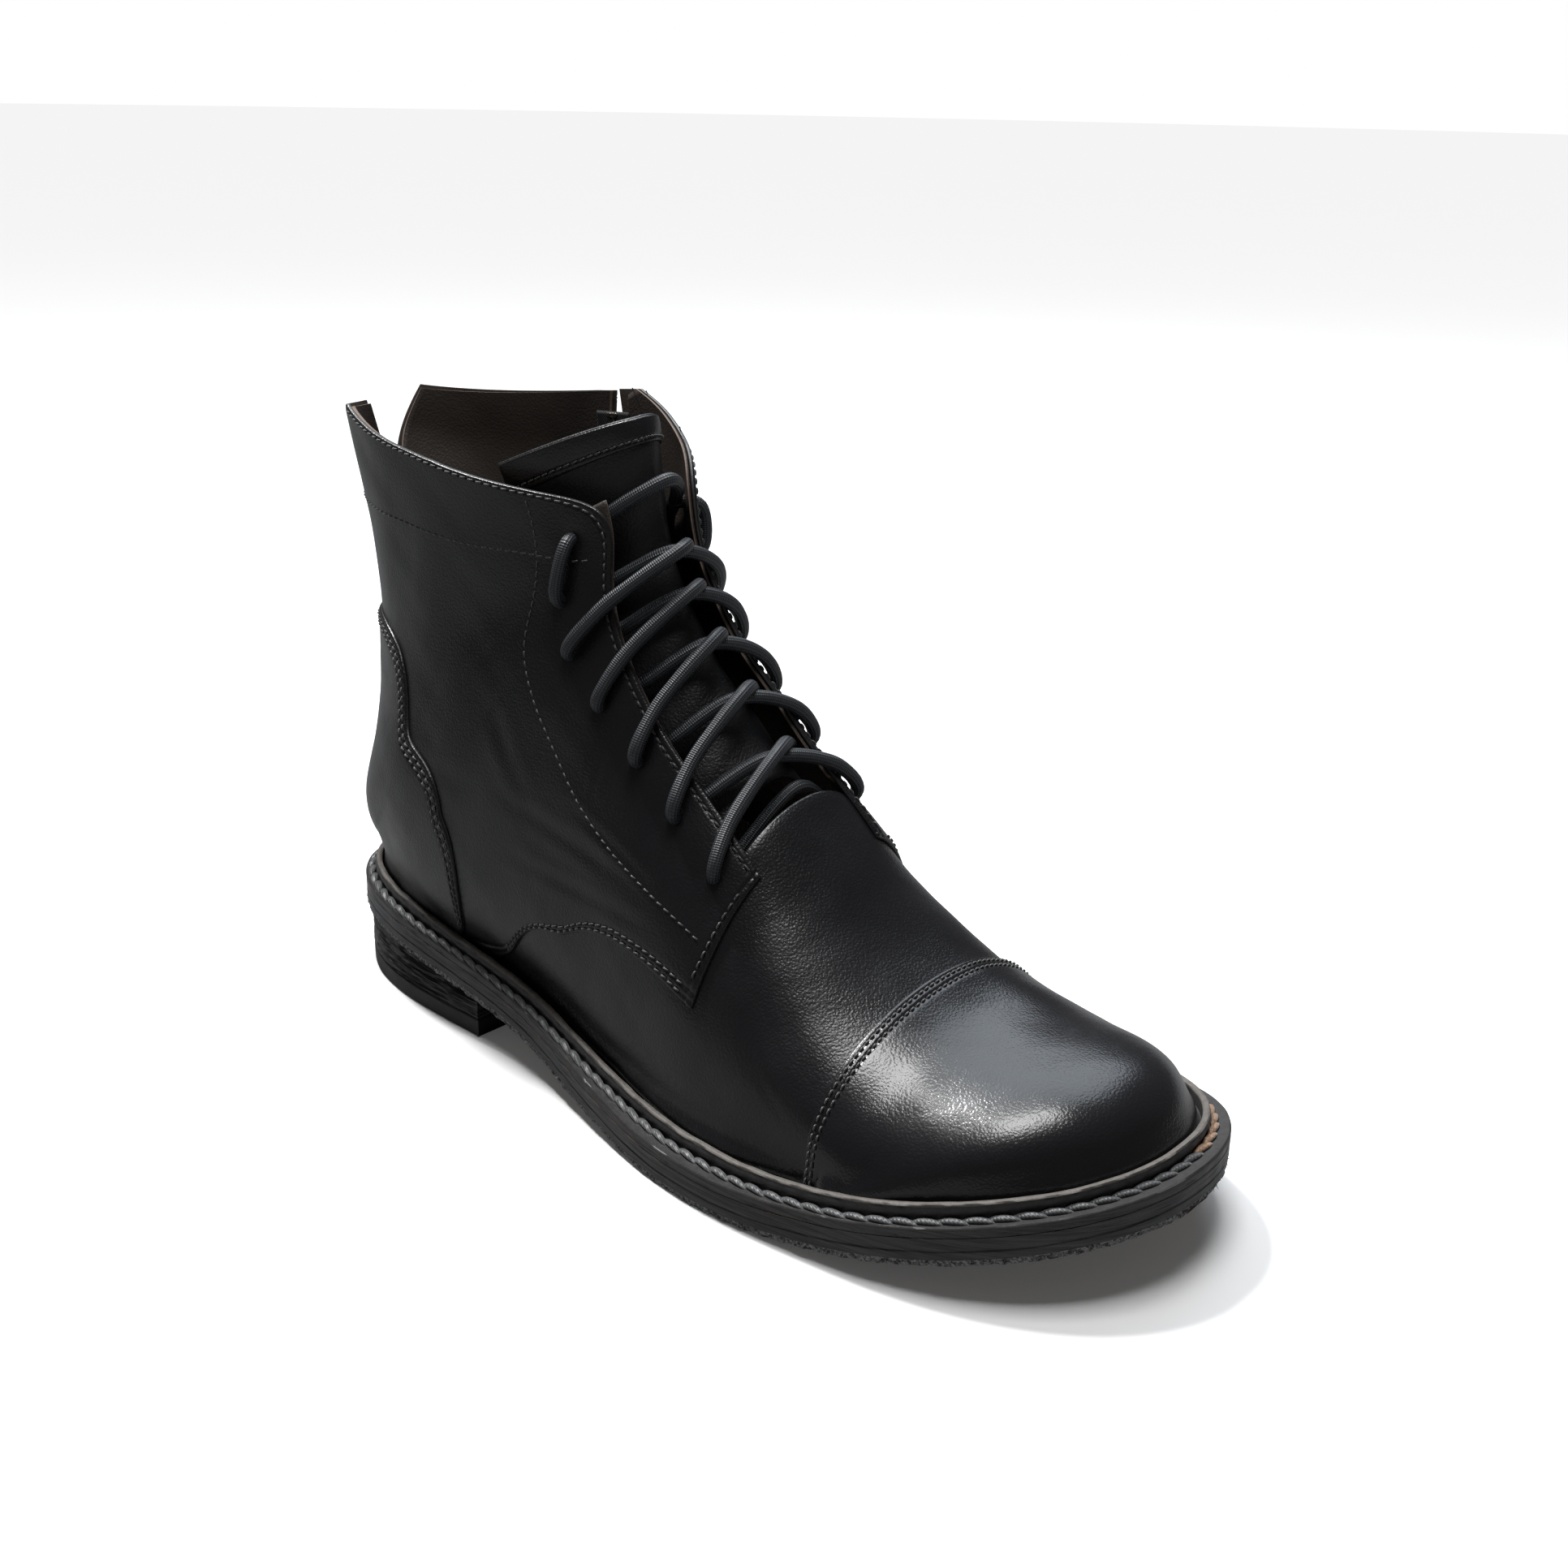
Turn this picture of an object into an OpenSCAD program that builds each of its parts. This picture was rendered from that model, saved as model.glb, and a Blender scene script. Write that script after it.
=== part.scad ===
// Right lace-up ankle boot: cap toe, open (derby) lacing, storm welt, stacked heel and inside zip.
// Millimetres. +X points to the toe, +Y to the inner (medial) side, +Z up, ground at Z = 0.
// The upper is laid out on one "last" surface. A place on it has three numbers:
//   station  0 at the toe tip up to 18 at the collar, one per row of STATIONS
//   girth    -1 outer bottom edge or back seam, 0 front ridge, +1 inner bottom edge or back seam;
//            past -1 it goes on round the back seam, so -1.2 is the same place as +0.8
//   height   distance out (+) or in (-) from the surface

/* [Sole] */
// Thickness of the outsole
outsole_t = 4; // [3:0.5:6]
// Thickness of the midsole
midsole_t = 4; // [3:0.5:5]
// Thickness of the flat part of the welt
welt_t = 3; // [2:0.5:4]
// Distance from the feather line to the outer edge of the welt
welt_w = 11; // [9:0.5:13]
// Height of the upstanding lip of the storm welt
lip_h = 4.6; // [3:0.2:6]
// Thickness of the upstanding lip
lip_t = 2; // [1.5:0.1:2.4]

/* [Heel] */
// Length of the heel from its back to its breast
heel_len = 84; // [70:1:90]
// Thickness of the rubber top piece
top_piece_t = 6; // [5:0.5:7]
// Thickness of each leather heel lift
lift_t = 3; // [2:0.5:3.5]
// How far the heel is set in from the welt edge
heel_inset = 1.5; // [1:0.5:3]

/* [Upper] */
// Thickness of the outer leather
leather_t = 1.4; // [1:0.1:1.6]
// Station of the cap seam
cap_station = 5.7; // [5.3:0.1:6.2]
// Diameter of the punched lace holes
eyelet_d = 4.4; // [4.2:0.1:5]
// Diameter of the waxed lace
lace_d = 3.4; // [2.6:0.1:3.6]

/* [Zip] */
// Length of the zip
zip_len = 86; // [60:1:90]
// Width of the slot in the leather beside the zip
zip_slot = 6.4; // [6:0.2:8]
// Length of the slider
slider_len = 8; // [7:0.5:9]
// Length of the pull tab below its hinge
pull_len = 16; // [10:1:20]

/* [Hidden] */
$fn = 48;

// ---- last surface ----
heel_x = -143;            // back end of the feather line
waist_x = -4;             // the heel end's rounding starts here
fan_x = 80;               // the toe sections fan out from here
toe_x = 144;              // front end of the feather line
toe_y = 7;                // the toe tip leans this far to the inner side
toe_n = 2.2;              // roundness of the toe outline
heel_n = 4;               // roundness of the heel outline
sole_x = -164;            // SOLE_Z starts here
sole_step = 40;
// Underside of the outsole at equal steps from the heel to the toe: heel pitch and toe spring
SOLE_Z = [22, 20, 16, 9, 2, -1, 1, 9, 18];
// Half widths of the feather line, outer and inner, at equal steps from heel_x to fan_x
FEATHER = [[32, 28], [31, 28], [29, 27], [28, 24], [29, 22], [36, 25], [43, 31], [49, 38], [50, 44], [47, 48]];
// Sections of the last, toe tip to collar. Each is a plane through a ridge point and a bottom
// (later back) point: ridge x, ridge rise, bottom x, bottom rise, ridge y,
// outer half width, inner half width, relative height of the widest place, roundness
STATIONS = [
    [ 144,   0,   80,   0,  7, 47, 48, 0.00, 2.2],
    [ 143,   8,   81,   0,  7, 49, 48, 0.04, 2.1],
    [ 137,  18,   82,   0,  7, 50, 48, 0.10, 2.0],
    [ 123,  25,   83,   0,  7, 50, 47, 0.16, 1.9],
    [ 104,  29,   84,   0,  7, 50, 47, 0.22, 2.0],
    [  86,  35,   84,   0,  6, 51, 47, 0.26, 2.0],
    [  69,  46,   70,   0,  5, 51, 46, 0.28, 2.0],
    [  51,  61,   52,   0,  4, 51, 43, 0.28, 2.0],
    [  35,  79,   30,   0,  3, 49, 39, 0.28, 2.0],
    [  18,  97,    4,   0,  1, 45, 35, 0.28, 2.0],
    [   4, 112,  -30,   0,  0, 41, 33, 0.28, 2.0],
    [  -7, 126,  -74,   0, -1, 39, 33, 0.30, 1.9],
    [ -14, 137, -122,   0, -1, 37, 33, 0.34, 1.9],
    [ -17, 145, -156,   8, -1, 34, 33, 0.38, 1.9],
    [ -19, 152, -147,  34, -1, 29, 33, 0.42, 1.9],
    [ -21, 160, -142,  70, -1, 26, 33, 0.45, 1.9],
    [ -24, 171, -144, 102, -1, 27, 34, 0.48, 1.9],
    [ -28, 185, -149, 130, -1, 30, 36, 0.50, 1.9],
    [ -32, 200, -153, 154, -1, 33, 38, 0.50, 1.9]
];
last_row = len(STATIONS) - 1;
sole_t = outsole_t + midsole_t + welt_t;
bottom = 0.985;           // girth of the lower edge of the upper, just above the welt
seam = 0.996;             // girth of the quarters' edges at the back seam
tip = 0.12;               // station of the lower edge of the upper at the toe

// ---- layers of the upper, as [inner, outer] height ----
air = 0.5;                // air between two layers
HULL = [0.2, 0.2 + leather_t];                            // quarters and toe cap
COVER = [HULL[1] + air, HULL[1] + air + 1.2];             // counter cover
CORE = [-1.7, -0.3];                                      // vamp, toe puff
FACING = [-1.9, -0.7];                                    // facings behind the lace holes
STIFFENER = [-2.4, -1.25];                                // heel counter
LINING = [-4.2, -2.9];                                    // linings
TONGUE = [-8.6, -7.1];                                    // tongue, under the lace
BAND = [TONGUE[1] + 0.3, TONGUE[1] + 1.2];                // band on the tongue
front_out = -0.185;       // girth of the outer front edge
front_in = 0.115;         // girth of the inner front edge

// ---- edges of the panels, as [station, girth] ----
QUARTER_FRONT = [[8.0, front_out], [8.6, -0.185], [9.3, -0.19], [10.1, -0.2], [10.9, -0.19], [11.8, -0.18],
    [12.8, -0.17], [14.0, -0.17], [15.1, -0.19], [15.9, -0.33], [16.8, -0.51], [17.8, -0.78]];
QUARTER_LOW = [[8.1, -0.42], [9.0, -0.43], [9.8, -0.45], [10.4, -0.52], [10.65, -0.7], [10.7, -bottom],
    [11.8, -bottom], [12.9, -bottom], [13.8, -seam], [15, -seam], [16.4, -seam], [17.3, -0.985], [17.85, -0.95]];
INNER_FRONT = [[7.7, front_in], [8.6, 0.115], [9.6, 0.115], [10.6, 0.11], [11.6, 0.105],
    [12.8, 0.11], [14.0, 0.115], [15.2, 0.13], [16.0, 0.2], [16.7, 0.3], [17.15, 0.38]];
// Line of the inner side seam, which the counter cover hides, and above it of the zip
SIDE_SEAM = [[11.5, bottom], [11.5, bottom], [11.5, 0.78], [11.7, 0.6], [12.0, 0.48]];
ZIP_LINE = [[12.2, 0.421], [12.45, 0.405], [12.7, 0.395], [13, 0.391], [13.4, 0.393], [13.9, 0.406],
    [14.5, 0.425], [15.2, 0.441], [15.9, 0.45], [16.6, 0.45], [17.25, 0.445]];
INNER_LOW = [[7.8, 0.42], [8.7, 0.43], [9.5, 0.45], [10.2, 0.5], [10.5, 0.62], [10.6, 0.8],
    [10.6, bottom], [10.6, bottom]];
INNER_BACK = [[11.6, bottom], [11.9, bottom], [12.2, bottom], [12.6, bottom], [13.0, bottom],
    [13.6, seam], [14.2, seam], [14.9, seam], [15.6, seam], [16.3, seam], [17.0, 0.975], [17.5, 0.94], [17.95, 0.88]];
// Counter cover: outer half of its free edge and of its foot, from the welt to the back seam
COVER_EDGE = [[11.2, -0.88], [11.3, -0.7], [11.6, -0.53], [12.2, -0.46], [13.1, -0.49], [14.0, -0.56],
    [14.8, -0.63], [15.3, -0.74], [15.55, -0.87], [15.6, -1]];
COVER_FOOT = [[11.2, -bottom], [11.5, -bottom], [11.8, -bottom], [12.1, -bottom], [12.4, -bottom], [12.6, -bottom],
    [12.8, -bottom], [12.95, -bottom], [13.05, -seam], [13.1, -1]];

// ---- lace ----
EYELET_S = [8.5, 9.35, 10.2, 11.1, 12.1, 13.3, 14.7];   // stations of the lace holes, bottom to top
eyelet_out = -0.25;       // girth of the outer row
eyelet_in = 0.19;         // girth of the inner row
lace_over = 3.6;          // height of the lace over the leather
lace_under = -3.8;        // height of the lace under the facings
lace_sides = 8;
aglet_len = 22;
aglet_d = 3;

// ---- zip frame: its bottom end, its lean and its turn ----
zip_foot = [-72, 28.6, 96];
zip_lean = [-2.6, -5, 0]; // degrees about X and Y
zip_turn = -5;            // degrees about the zip's own line
tooth_gap = 0.6;          // half the free way between the two rows of teeth
tooth = [1.7, 1.6, 1.3];
tooth_pitch = 2.4;
tape_w = 5.5;
tape_t = 0.6;
web_w = 0.6;
plate_w = 5.4;
plate_t = 1;
plate_gap = 1.1;          // from the middle of the teeth to each slider plate
pin_d = 1.2;
pin_h = 4.2;              // height of the pull's pin over the middle of the teeth

// ---- functions: last surface ----
// Uniform cubic B-spline through a table, s runs from 0 to len(table) - 1
function spline(t, s) =
    let (n = len(t) - 1,
         i = min(max(floor(s), 0), n - 1),
         f = s - i,
         before = i > 0 ? t[i - 1] : 2 * t[0] - t[1],
         after = i < n - 1 ? t[i + 2] : 2 * t[n] - t[n - 1])
    (pow(1 - f, 3) * before + (3 * pow(f, 3) - 6 * f * f + 4) * t[i]
        + (-3 * pow(f, 3) + 3 * f * f + 3 * f + 1) * t[i + 1] + pow(f, 3) * after) / 6;
// Straight run through a list of points, s from 0 to 1
function run(t, s) =
    let (n = len(t) - 1, k = min(max(s, 0), 1) * n, i = min(floor(k), n - 1))
    t[i] + (k - i) * (t[i + 1] - t[i]);
function clamp(v, low, high) = min(max(v, low), high);
function sole_z(x) = max(0, spline(SOLE_Z, clamp((x - sole_x) / sole_step, 0, len(SOLE_Z) - 1)));
function feather_z(x) = sole_z(x) + sole_t;
// y of the feather line, outer and inner
function feather_y(x) =
    let (c = spline(FEATHER, 9 * (clamp(x, heel_x, fan_x) - heel_x) / (fan_x - heel_x)),
         q = clamp((waist_x - x) / (waist_x - heel_x), 0, 1),
         t = clamp((x - fan_x) / (toe_x - fan_x), 0, 1),
         e = sqrt(max(0, 1 - pow(q, heel_n))) * pow(max(0, 1 - pow(t, toe_n)), 1 / toe_n))
    [-c[0] * e + toe_y * t, c[1] * e + toe_y * t];
function on_last(s, u) =
    let (r = spline(STATIONS, s),
         side = u < 0 ? 0 : 1,
         zb = feather_z(max(r[2], heel_x)) + r[3],
         zt = feather_z(r[0]) + r[1],
         w_max = r[5 + side],
         edge = abs(feather_y(clamp(r[2], heel_x, fan_x))[side]),
         w_low = r[2] > fan_x ? w_max : min(edge, w_max),
         a = abs(u),
         turn = min(a, 0.5) * 180,
         fall = clamp(a - 0.5, 0, 0.5) * 2,
         shut = clamp(((w_max - w_low) / w_max - 0.4) / 0.6, 0, 1),
         v = fall + shut * (sin(90 * fall) - fall),
         w = a < 0.5 ? w_max * pow(sin(turn), 2 / r[8])
             : w_low + (w_max - w_low) * pow(max(0, 1 - v * v), 1 - 0.5 * shut),
         h = a < 0.5 ? r[7] + (1 - r[7]) * pow(max(0, cos(turn)), 2 / r[8]) : r[7] * (1 - v))
    [r[2] + h * (r[0] - r[2]), (side == 0 ? -w : w) + r[4] * h, zb + h * (zt - zb)];
function normal(s, u) =
    let (du = on_last(s, min(1, u + 0.01)) - on_last(s, max(-1, u - 0.01)),
         ds = on_last(min(last_row, s + 0.05), u) - on_last(max(0, s - 0.05), u),
         n = cross(du, ds))
    n / norm(n);
function at(s, girth, height = 0) =
    let (u = girth < -1 ? girth + 2 : girth)
    on_last(s, u) + height * normal(s, u);

// ---- functions: outlines of the sole ----
half_points = 34;
mid_x = (heel_x + toe_x) / 2;
half_x = (toe_x - heel_x) / 2;
FEATHER_RING = concat(
    [for (i = [0:half_points - 1]) let (x = mid_x - half_x * cos(180 * i / half_points)) [x, feather_y(x)[0]]],
    [for (i = [half_points:-1:1]) let (x = mid_x - half_x * cos(180 * i / half_points)) [x, feather_y(x)[1]]]);
ring_n = len(FEATHER_RING);
// The feather line moved outwards by a distance, or by a table of distances from heel to toe
function outline(grow, table = []) =
    [for (i = [0:ring_n - 1])
        let (p = FEATHER_RING[i],
             d = FEATHER_RING[(i + 1) % ring_n] - FEATHER_RING[(i + ring_n - 1) % ring_n],
             n = [d[1], -d[0]] / norm(d),
             more = len(table) == 0 ? 0 : spline(table, (len(table) - 1) * (p[0] - heel_x) / (toe_x - heel_x)))
        p + (grow + more) * n];
// Distance of the lip's inner face from the feather line, heel to toe
LIP_TABLE = [5.4, 5.6, 6.6, 7.2, 6.4, 5.2, 4.2, 3.4, 3.6, 5.6, 5.8, 4.4, 3];
// A band across the whole sole between two heights over its underside
profile_step = 8;
profile_x = 168;
module band(low, high) {
    xs = [for (x = [-profile_x:profile_step:profile_x]) x];
    under = [for (x = xs) [x, sole_z(x) + low]];
    over = [for (i = [len(xs) - 1:-1:0]) [xs[i], sole_z(xs[i]) + high]];
    rotate([90, 0, 0])
        linear_extrude(height = 200, center = true)
            polygon(concat(under, over));
}
module plate(grow, low, high) {
    intersection() {
        linear_extrude(height = 80)
            polygon(outline(grow));
        band(low, high);
    }
}

// ---- sole ----
module outsole() {
    color([0.16, 0.15, 0.15])
        plate(welt_w, 0, outsole_t);
}
module midsole() {
    color([0.12, 0.12, 0.13])
        plate(welt_w, outsole_t, outsole_t + midsole_t);
}
welt_z = outsole_t + midsole_t;
module welt() {
    color([0.22, 0.21, 0.2])
        difference() {
            union() {
                plate(welt_w, welt_z, sole_t);
                intersection() {
                    linear_extrude(height = 80)
                        polygon(outline(lip_t, LIP_TABLE));
                    band(welt_z, sole_t + lip_h);
                }
            }
            intersection() {
                linear_extrude(height = 80)
                    polygon(outline(0, LIP_TABLE));
                band(sole_t, sole_t + lip_h + 5);
            }
            linear_extrude(height = 80)
                polygon(outline(-4));
        }
}
shank_t = 2;
shank_w = 16;
shank_len = 106;
shank_x = -92;
module shank_shape(grow) {
    intersection() {
        translate([shank_x - grow, -shank_w / 2 - grow, 0])
            cube([shank_len + 2 * grow, shank_w + 2 * grow, 80]);
        band(welt_z, welt_z + shank_t + grow);
    }
}
module cork_filler() {
    color([0.55, 0.42, 0.28])
        difference() {
            plate(-4.3, welt_z, sole_t - 0.3);
            shank_shape(0.3);
        }
}
module shank() {
    color([0.55, 0.56, 0.58])
        shank_shape(0);
}
module insole() {
    color([0.6, 0.47, 0.33])
        plate(-5, sole_t, sole_t + 2.4);
}
module sock_liner() {
    color([0.2, 0.14, 0.11])
        plate(-5.4, sole_t + 2.4, sole_t + 3.4);
}

// ---- heel ----
heel_back = heel_x - welt_w;
breast_x = heel_back + heel_len;
lift_z = [0, top_piece_t, top_piece_t + lift_t, top_piece_t + 2 * lift_t];
module heel_block(low, high) {
    intersection() {
        translate([0, 0, low])
            linear_extrude(height = high - low)
                polygon(outline(welt_w - heel_inset));
        translate([heel_back - 5, -60, low])
            cube([breast_x - heel_back + 5, 120, high - low]);
    }
}
NAILS = [[-132, 0], [-121, -18], [-121, 16], [-102, -22], [-102, 19], [-82, -20], [-82, 17]];
nail_low = 1.5;
nail_high = 14;
nail_d = 2;
nail_head_d = 3.6;
nail_head_t = 1.2;
module nail_shapes(grow) {
    for (p = NAILS)
        translate([p[0], p[1], nail_low]) {
            cylinder(d = nail_d + grow, h = nail_high - nail_low + grow);
            cylinder(d = nail_head_d + grow, h = nail_head_t + grow / 2);
        }
}
module nail_wells() {
    for (p = NAILS)
        translate([p[0], p[1], -1])
            cylinder(d = nail_head_d + 0.4, h = nail_low + 1.1);
}
module heel_top_piece() {
    color([0.1, 0.1, 0.1])
        difference() {
            heel_block(lift_z[0], lift_z[1]);
            nail_shapes(0.4);
            nail_wells();
        }
}
module heel_lift_lower() {
    color([0.2, 0.18, 0.17])
        difference() {
            heel_block(lift_z[1], lift_z[2]);
            nail_shapes(0.4);
        }
}
module heel_lift_upper() {
    color([0.2, 0.18, 0.17])
        difference() {
            heel_block(lift_z[2], lift_z[3]);
            nail_shapes(0.4);
        }
}
module heel_wedge() {
    color([0.2, 0.18, 0.17])
        difference() {
            intersection() {
                heel_block(lift_z[3], lift_z[3] + 20);
                band(-30, 0);
            }
            nail_shapes(0.4);
        }
}
module heel_nails() {
    color([0.6, 0.5, 0.3])
        nail_shapes(0);
}

// ---- shells of the upper ----
// A leather shell from a grid of [station, girth] places, between two heights
module shell(grid, layer) {
    rows = len(grid);
    cols = len(grid[0]);
    size = rows * cols;
    points = concat(
        [for (row = grid) for (p = row) at(p[0], p[1], layer[1])],
        [for (row = grid) for (p = row) at(p[0], p[1], layer[0])]);
    rim = concat(
        [for (j = [0:cols - 1]) j],
        [for (i = [1:rows - 1]) i * cols + cols - 1],
        [for (j = [cols - 2:-1:0]) (rows - 1) * cols + j],
        [for (i = [rows - 2:-1:1]) i * cols]);
    faces = concat(
        [for (i = [0:rows - 2]) for (j = [0:cols - 2]) for (k = [0, 1])
            let (a = i * cols + j, b = a + 1, c = a + cols, d = c + 1)
            k == 0 ? [a, c, d] : [a, d, b]],
        [for (i = [0:rows - 2]) for (j = [0:cols - 2]) for (k = [0, 1])
            let (a = size + i * cols + j, b = a + 1, c = a + cols, d = c + 1)
            k == 0 ? [a, d, c] : [a, b, d]],
        [for (i = [0:len(rim) - 1]) for (k = [0, 1])
            let (a = rim[i], b = rim[(i + 1) % len(rim)])
            k == 0 ? [a, b, b + size] : [a, b + size, a + size]]);
    polyhedron(points = points, faces = faces, convexity = 8);
}
// Grid between two edge curves, the first with the lower girth
function between(edge_a, edge_b, rows, cols) =
    [for (i = [0:rows]) [for (j = [0:cols])
        let (a = spline(edge_a, (len(edge_a) - 1) * i / rows),
             b = spline(edge_b, (len(edge_b) - 1) * i / rows))
        a + (b - a) * j / cols]];
// The same with straight runs, so that corners stay sharp
function between_runs(edge_a, edge_b, rows, cols) =
    [for (i = [0:rows]) [for (j = [0:cols])
        let (a = run(edge_a, i / rows), b = run(edge_b, i / rows))
        a + (b - a) * j / cols]];
// Grid over whole sections from one station to another
function wrap(s0, s1, low, rows, cols) =
    [for (i = [0:rows]) [for (j = [0:cols])
        [s0 + (s1 - s0) * i / rows, low * (2 * j / cols - 1)]]];
function reverse(list) = [for (i = [len(list) - 1:-1:0]) list[i]];
// An outer half carried on round the back seam as its own mirror image
function both_halves(half) =
    concat(half, [for (i = [len(half) - 2:-1:0]) [half[i][0], -2 - half[i][1]]]);
// How far one unit of girth goes square to a line, at its point i
function across(list, i) =
    let (p = list[i],
         before = list[max(i - 1, 0)],
         after = list[min(i + 1, len(list) - 1)],
         line = at(after[0], after[1]) - at(before[0], before[1]))
    50 * norm(cross(at(p[0], p[1] + 0.01) - at(p[0], p[1] - 0.01), line)) / norm(line);
// A line moved sideways by a distance, and by another distance at its last point
function move_line(list, by, last_by) =
    [for (i = [0:len(list) - 1]) let (p = list[i])
        [p[0], p[1] + (i == len(list) - 1 ? last_by : by) / across(list, i)]];
// A hole punched along the surface normal
module punch(s, u, d) {
    n = normal(s, u);
    translate(at(s, u, -5))
        rotate([0, acos(n[2]), atan2(n[1], n[0])])
            cylinder(d = d, h = 11);
}
module eyelets(u) {
    for (s = EYELET_S)
        punch(s, u, eyelet_d);
}

module toe_cap() {
    color([0.05, 0.05, 0.055])
        shell(wrap(tip, cap_station, bottom, 12, 26), HULL);
}
module toe_puff() {
    color([0.7, 0.66, 0.58])
        shell(wrap(tip, 5.1, bottom, 9, 22), CORE);
}
throat = 8.35;
vamp_start = 5.25;
module vamp() {
    outer = [[11.1, -bottom], [9.4, -bottom], [7.8, -bottom], [6.4, -bottom], [vamp_start, -bottom],
        [vamp_start, -0.66], [vamp_start, -0.33], [vamp_start, 0], [vamp_start, 0.33], [vamp_start, 0.66],
        [vamp_start, bottom], [6.4, bottom], [7.8, bottom], [9.4, bottom], [11.1, bottom]];
    inner = [[10.8, -0.48], [9.7, -0.4], [9.1, -0.37], [8.6, -0.35], [throat, -0.33],
        [throat, -0.22], [throat, -0.11], [throat, 0], [throat, 0.11], [throat, 0.22],
        [throat, 0.33], [8.6, 0.35], [9.1, 0.37], [9.7, 0.4], [10.8, 0.48]];
    color([0.05, 0.05, 0.055])
        shell(between_runs(outer, inner, 28, 9), CORE);
}
module vamp_lining() {
    color([0.2, 0.14, 0.11])
        shell(wrap(tip + 0.4, throat, 0.97, 16, 20), LINING);
}
module lateral_quarter() {
    color([0.05, 0.05, 0.055])
        difference() {
            shell(between(QUARTER_LOW, QUARTER_FRONT, 26, 13), HULL);
            eyelets(eyelet_out);
        }
}
lining_gap = 4.2;         // half the gap of the lining at the zip
slit = 1.1;               // half the slit over the zip, at the collar
module medial_quarter_front() {
    low_and_rear = concat(INNER_LOW, [for (p = SIDE_SEAM) [p[0] - 0.1, p[1]]], move_line(ZIP_LINE, -zip_slot / 2, -slit));
    color([0.05, 0.05, 0.055])
        difference() {
            shell(between(INNER_FRONT, low_and_rear, 32, 9), HULL);
            eyelets(eyelet_in);
        }
}
module medial_quarter_rear() {
    side = concat(SIDE_SEAM, move_line(ZIP_LINE, zip_slot / 2, slit));
    color([0.05, 0.05, 0.055])
        shell(between(side, INNER_BACK, 24, 10), HULL);
}
module counter_cover() {
    color([0.05, 0.05, 0.055])
        shell(between(both_halves(COVER_EDGE), both_halves(COVER_FOOT), 32, 7), COVER);
}
counter_share = 0.85;     // the stiffener inside reaches this far up the cover
module heel_counter() {
    foot = both_halves(COVER_FOOT);
    edge = both_halves(COVER_EDGE);
    low_edge = [for (i = [0:len(edge) - 1]) foot[i] + counter_share * (edge[i] - foot[i])];
    color([0.7, 0.66, 0.58])
        shell(between(low_edge, foot, 40, 7), STIFFENER);
}
facing_low = -0.335;
module lateral_facing() {
    front = [for (p = QUARTER_FRONT) if (p[0] > 8.5 && p[0] < 15.5) p];
    low = [for (p = front) [p[0], facing_low]];
    color([0.25, 0.17, 0.13])
        difference() {
            shell(between(low, front, 18, 5), FACING);
            eyelets(eyelet_out);
        }
}
module medial_facing() {
    front = [for (p = INNER_FRONT) if (p[0] > 8.5) p];
    rear = [[8.6, 0.32], [9.6, 0.355], [10.6, 0.365], [11.6, 0.37], [12.8, 0.355],
        [14.0, 0.37], [15.2, 0.395], [16.0, 0.4], [16.7, 0.405], [17.1, 0.405]];
    color([0.25, 0.17, 0.13])
        difference() {
            shell(between(front, rear, 22, 6), FACING);
            eyelets(eyelet_in);
        }
}
module lateral_lining() {
    low = [[8.6, -0.97], [10, -0.97], [11.5, -0.97], [13, -0.97], [14.2, -seam], [15.4, -seam], [16.6, -seam],
        [17.8, -seam]];
    high = [[8.6, -0.35], [10, -0.35], [11.5, -0.35], [12.8, -0.35], [14, -0.35], [15.3, -0.35], [16.3, -0.42],
        [17.75, -0.78]];
    color([0.2, 0.14, 0.11])
        shell(between(low, high, 22, 10), LINING);
}
module medial_lining() {
    side = concat([[8.6, 0.4], [9.6, 0.41], [10.4, 0.43], [11.1, 0.46], [11.8, 0.48]], move_line(ZIP_LINE, lining_gap, lining_gap));
    back = [[8.6, 0.97], [9.8, 0.97], [11, 0.97], [12.2, 0.97], [13.1, 0.97],
        [13.8, seam], [14.6, seam], [15.4, seam], [16.2, seam], [17.0, seam], [17.8, seam]];
    color([0.2, 0.14, 0.11])
        shell(between(side, back, 22, 10), LINING);
}

// ---- tongue ----
TONGUE_OUT = [[8.7, -0.26], [9.6, -0.29], [10.6, -0.3], [11.8, -0.31], [13, -0.32], [14.3, -0.34], [15.5, -0.38], [16.38, -0.41]];
TONGUE_IN = [[8.7, 0.24], [9.6, 0.27], [10.6, 0.29], [11.8, 0.3], [13, 0.3], [14.2, 0.3], [15.5, 0.3], [16.5, 0.29]];
// Folded band along the tongue's slanting top edge
BAND_OUT = [[15.85, -0.39], [16.32, -0.4]];
BAND_IN = [[15.95, 0.28], [16.42, 0.28]];
module tongue() {
    color([0.07, 0.07, 0.075])
        shell(between(TONGUE_OUT, TONGUE_IN, 20, 12), TONGUE);
}
module tongue_band() {
    color([0.05, 0.05, 0.055])
        shell(between(BAND_OUT, BAND_IN, 2, 12), BAND);
}

// ---- lace ----
// One strand from a hole, over its own edge, across the gap and under the other edge.
// rise is the height at the middle of the gap, so that the two strands of a cross stay apart
function strand(k, from_u, to_u, edge_from, edge_to, rise) =
    let (s0 = EYELET_S[k], s1 = EYELET_S[k + 1], m = (s0 + s1) / 2)
    [[s0, from_u, lace_under], [s0, from_u + 0.06 * (edge_from - from_u), lace_over],
     [s0 * 0.8 + s1 * 0.2, edge_from, lace_over],
     [m, (edge_from + edge_to) / 2, rise],
     [s0 * 0.2 + s1 * 0.8, edge_to, lace_under]];
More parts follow.
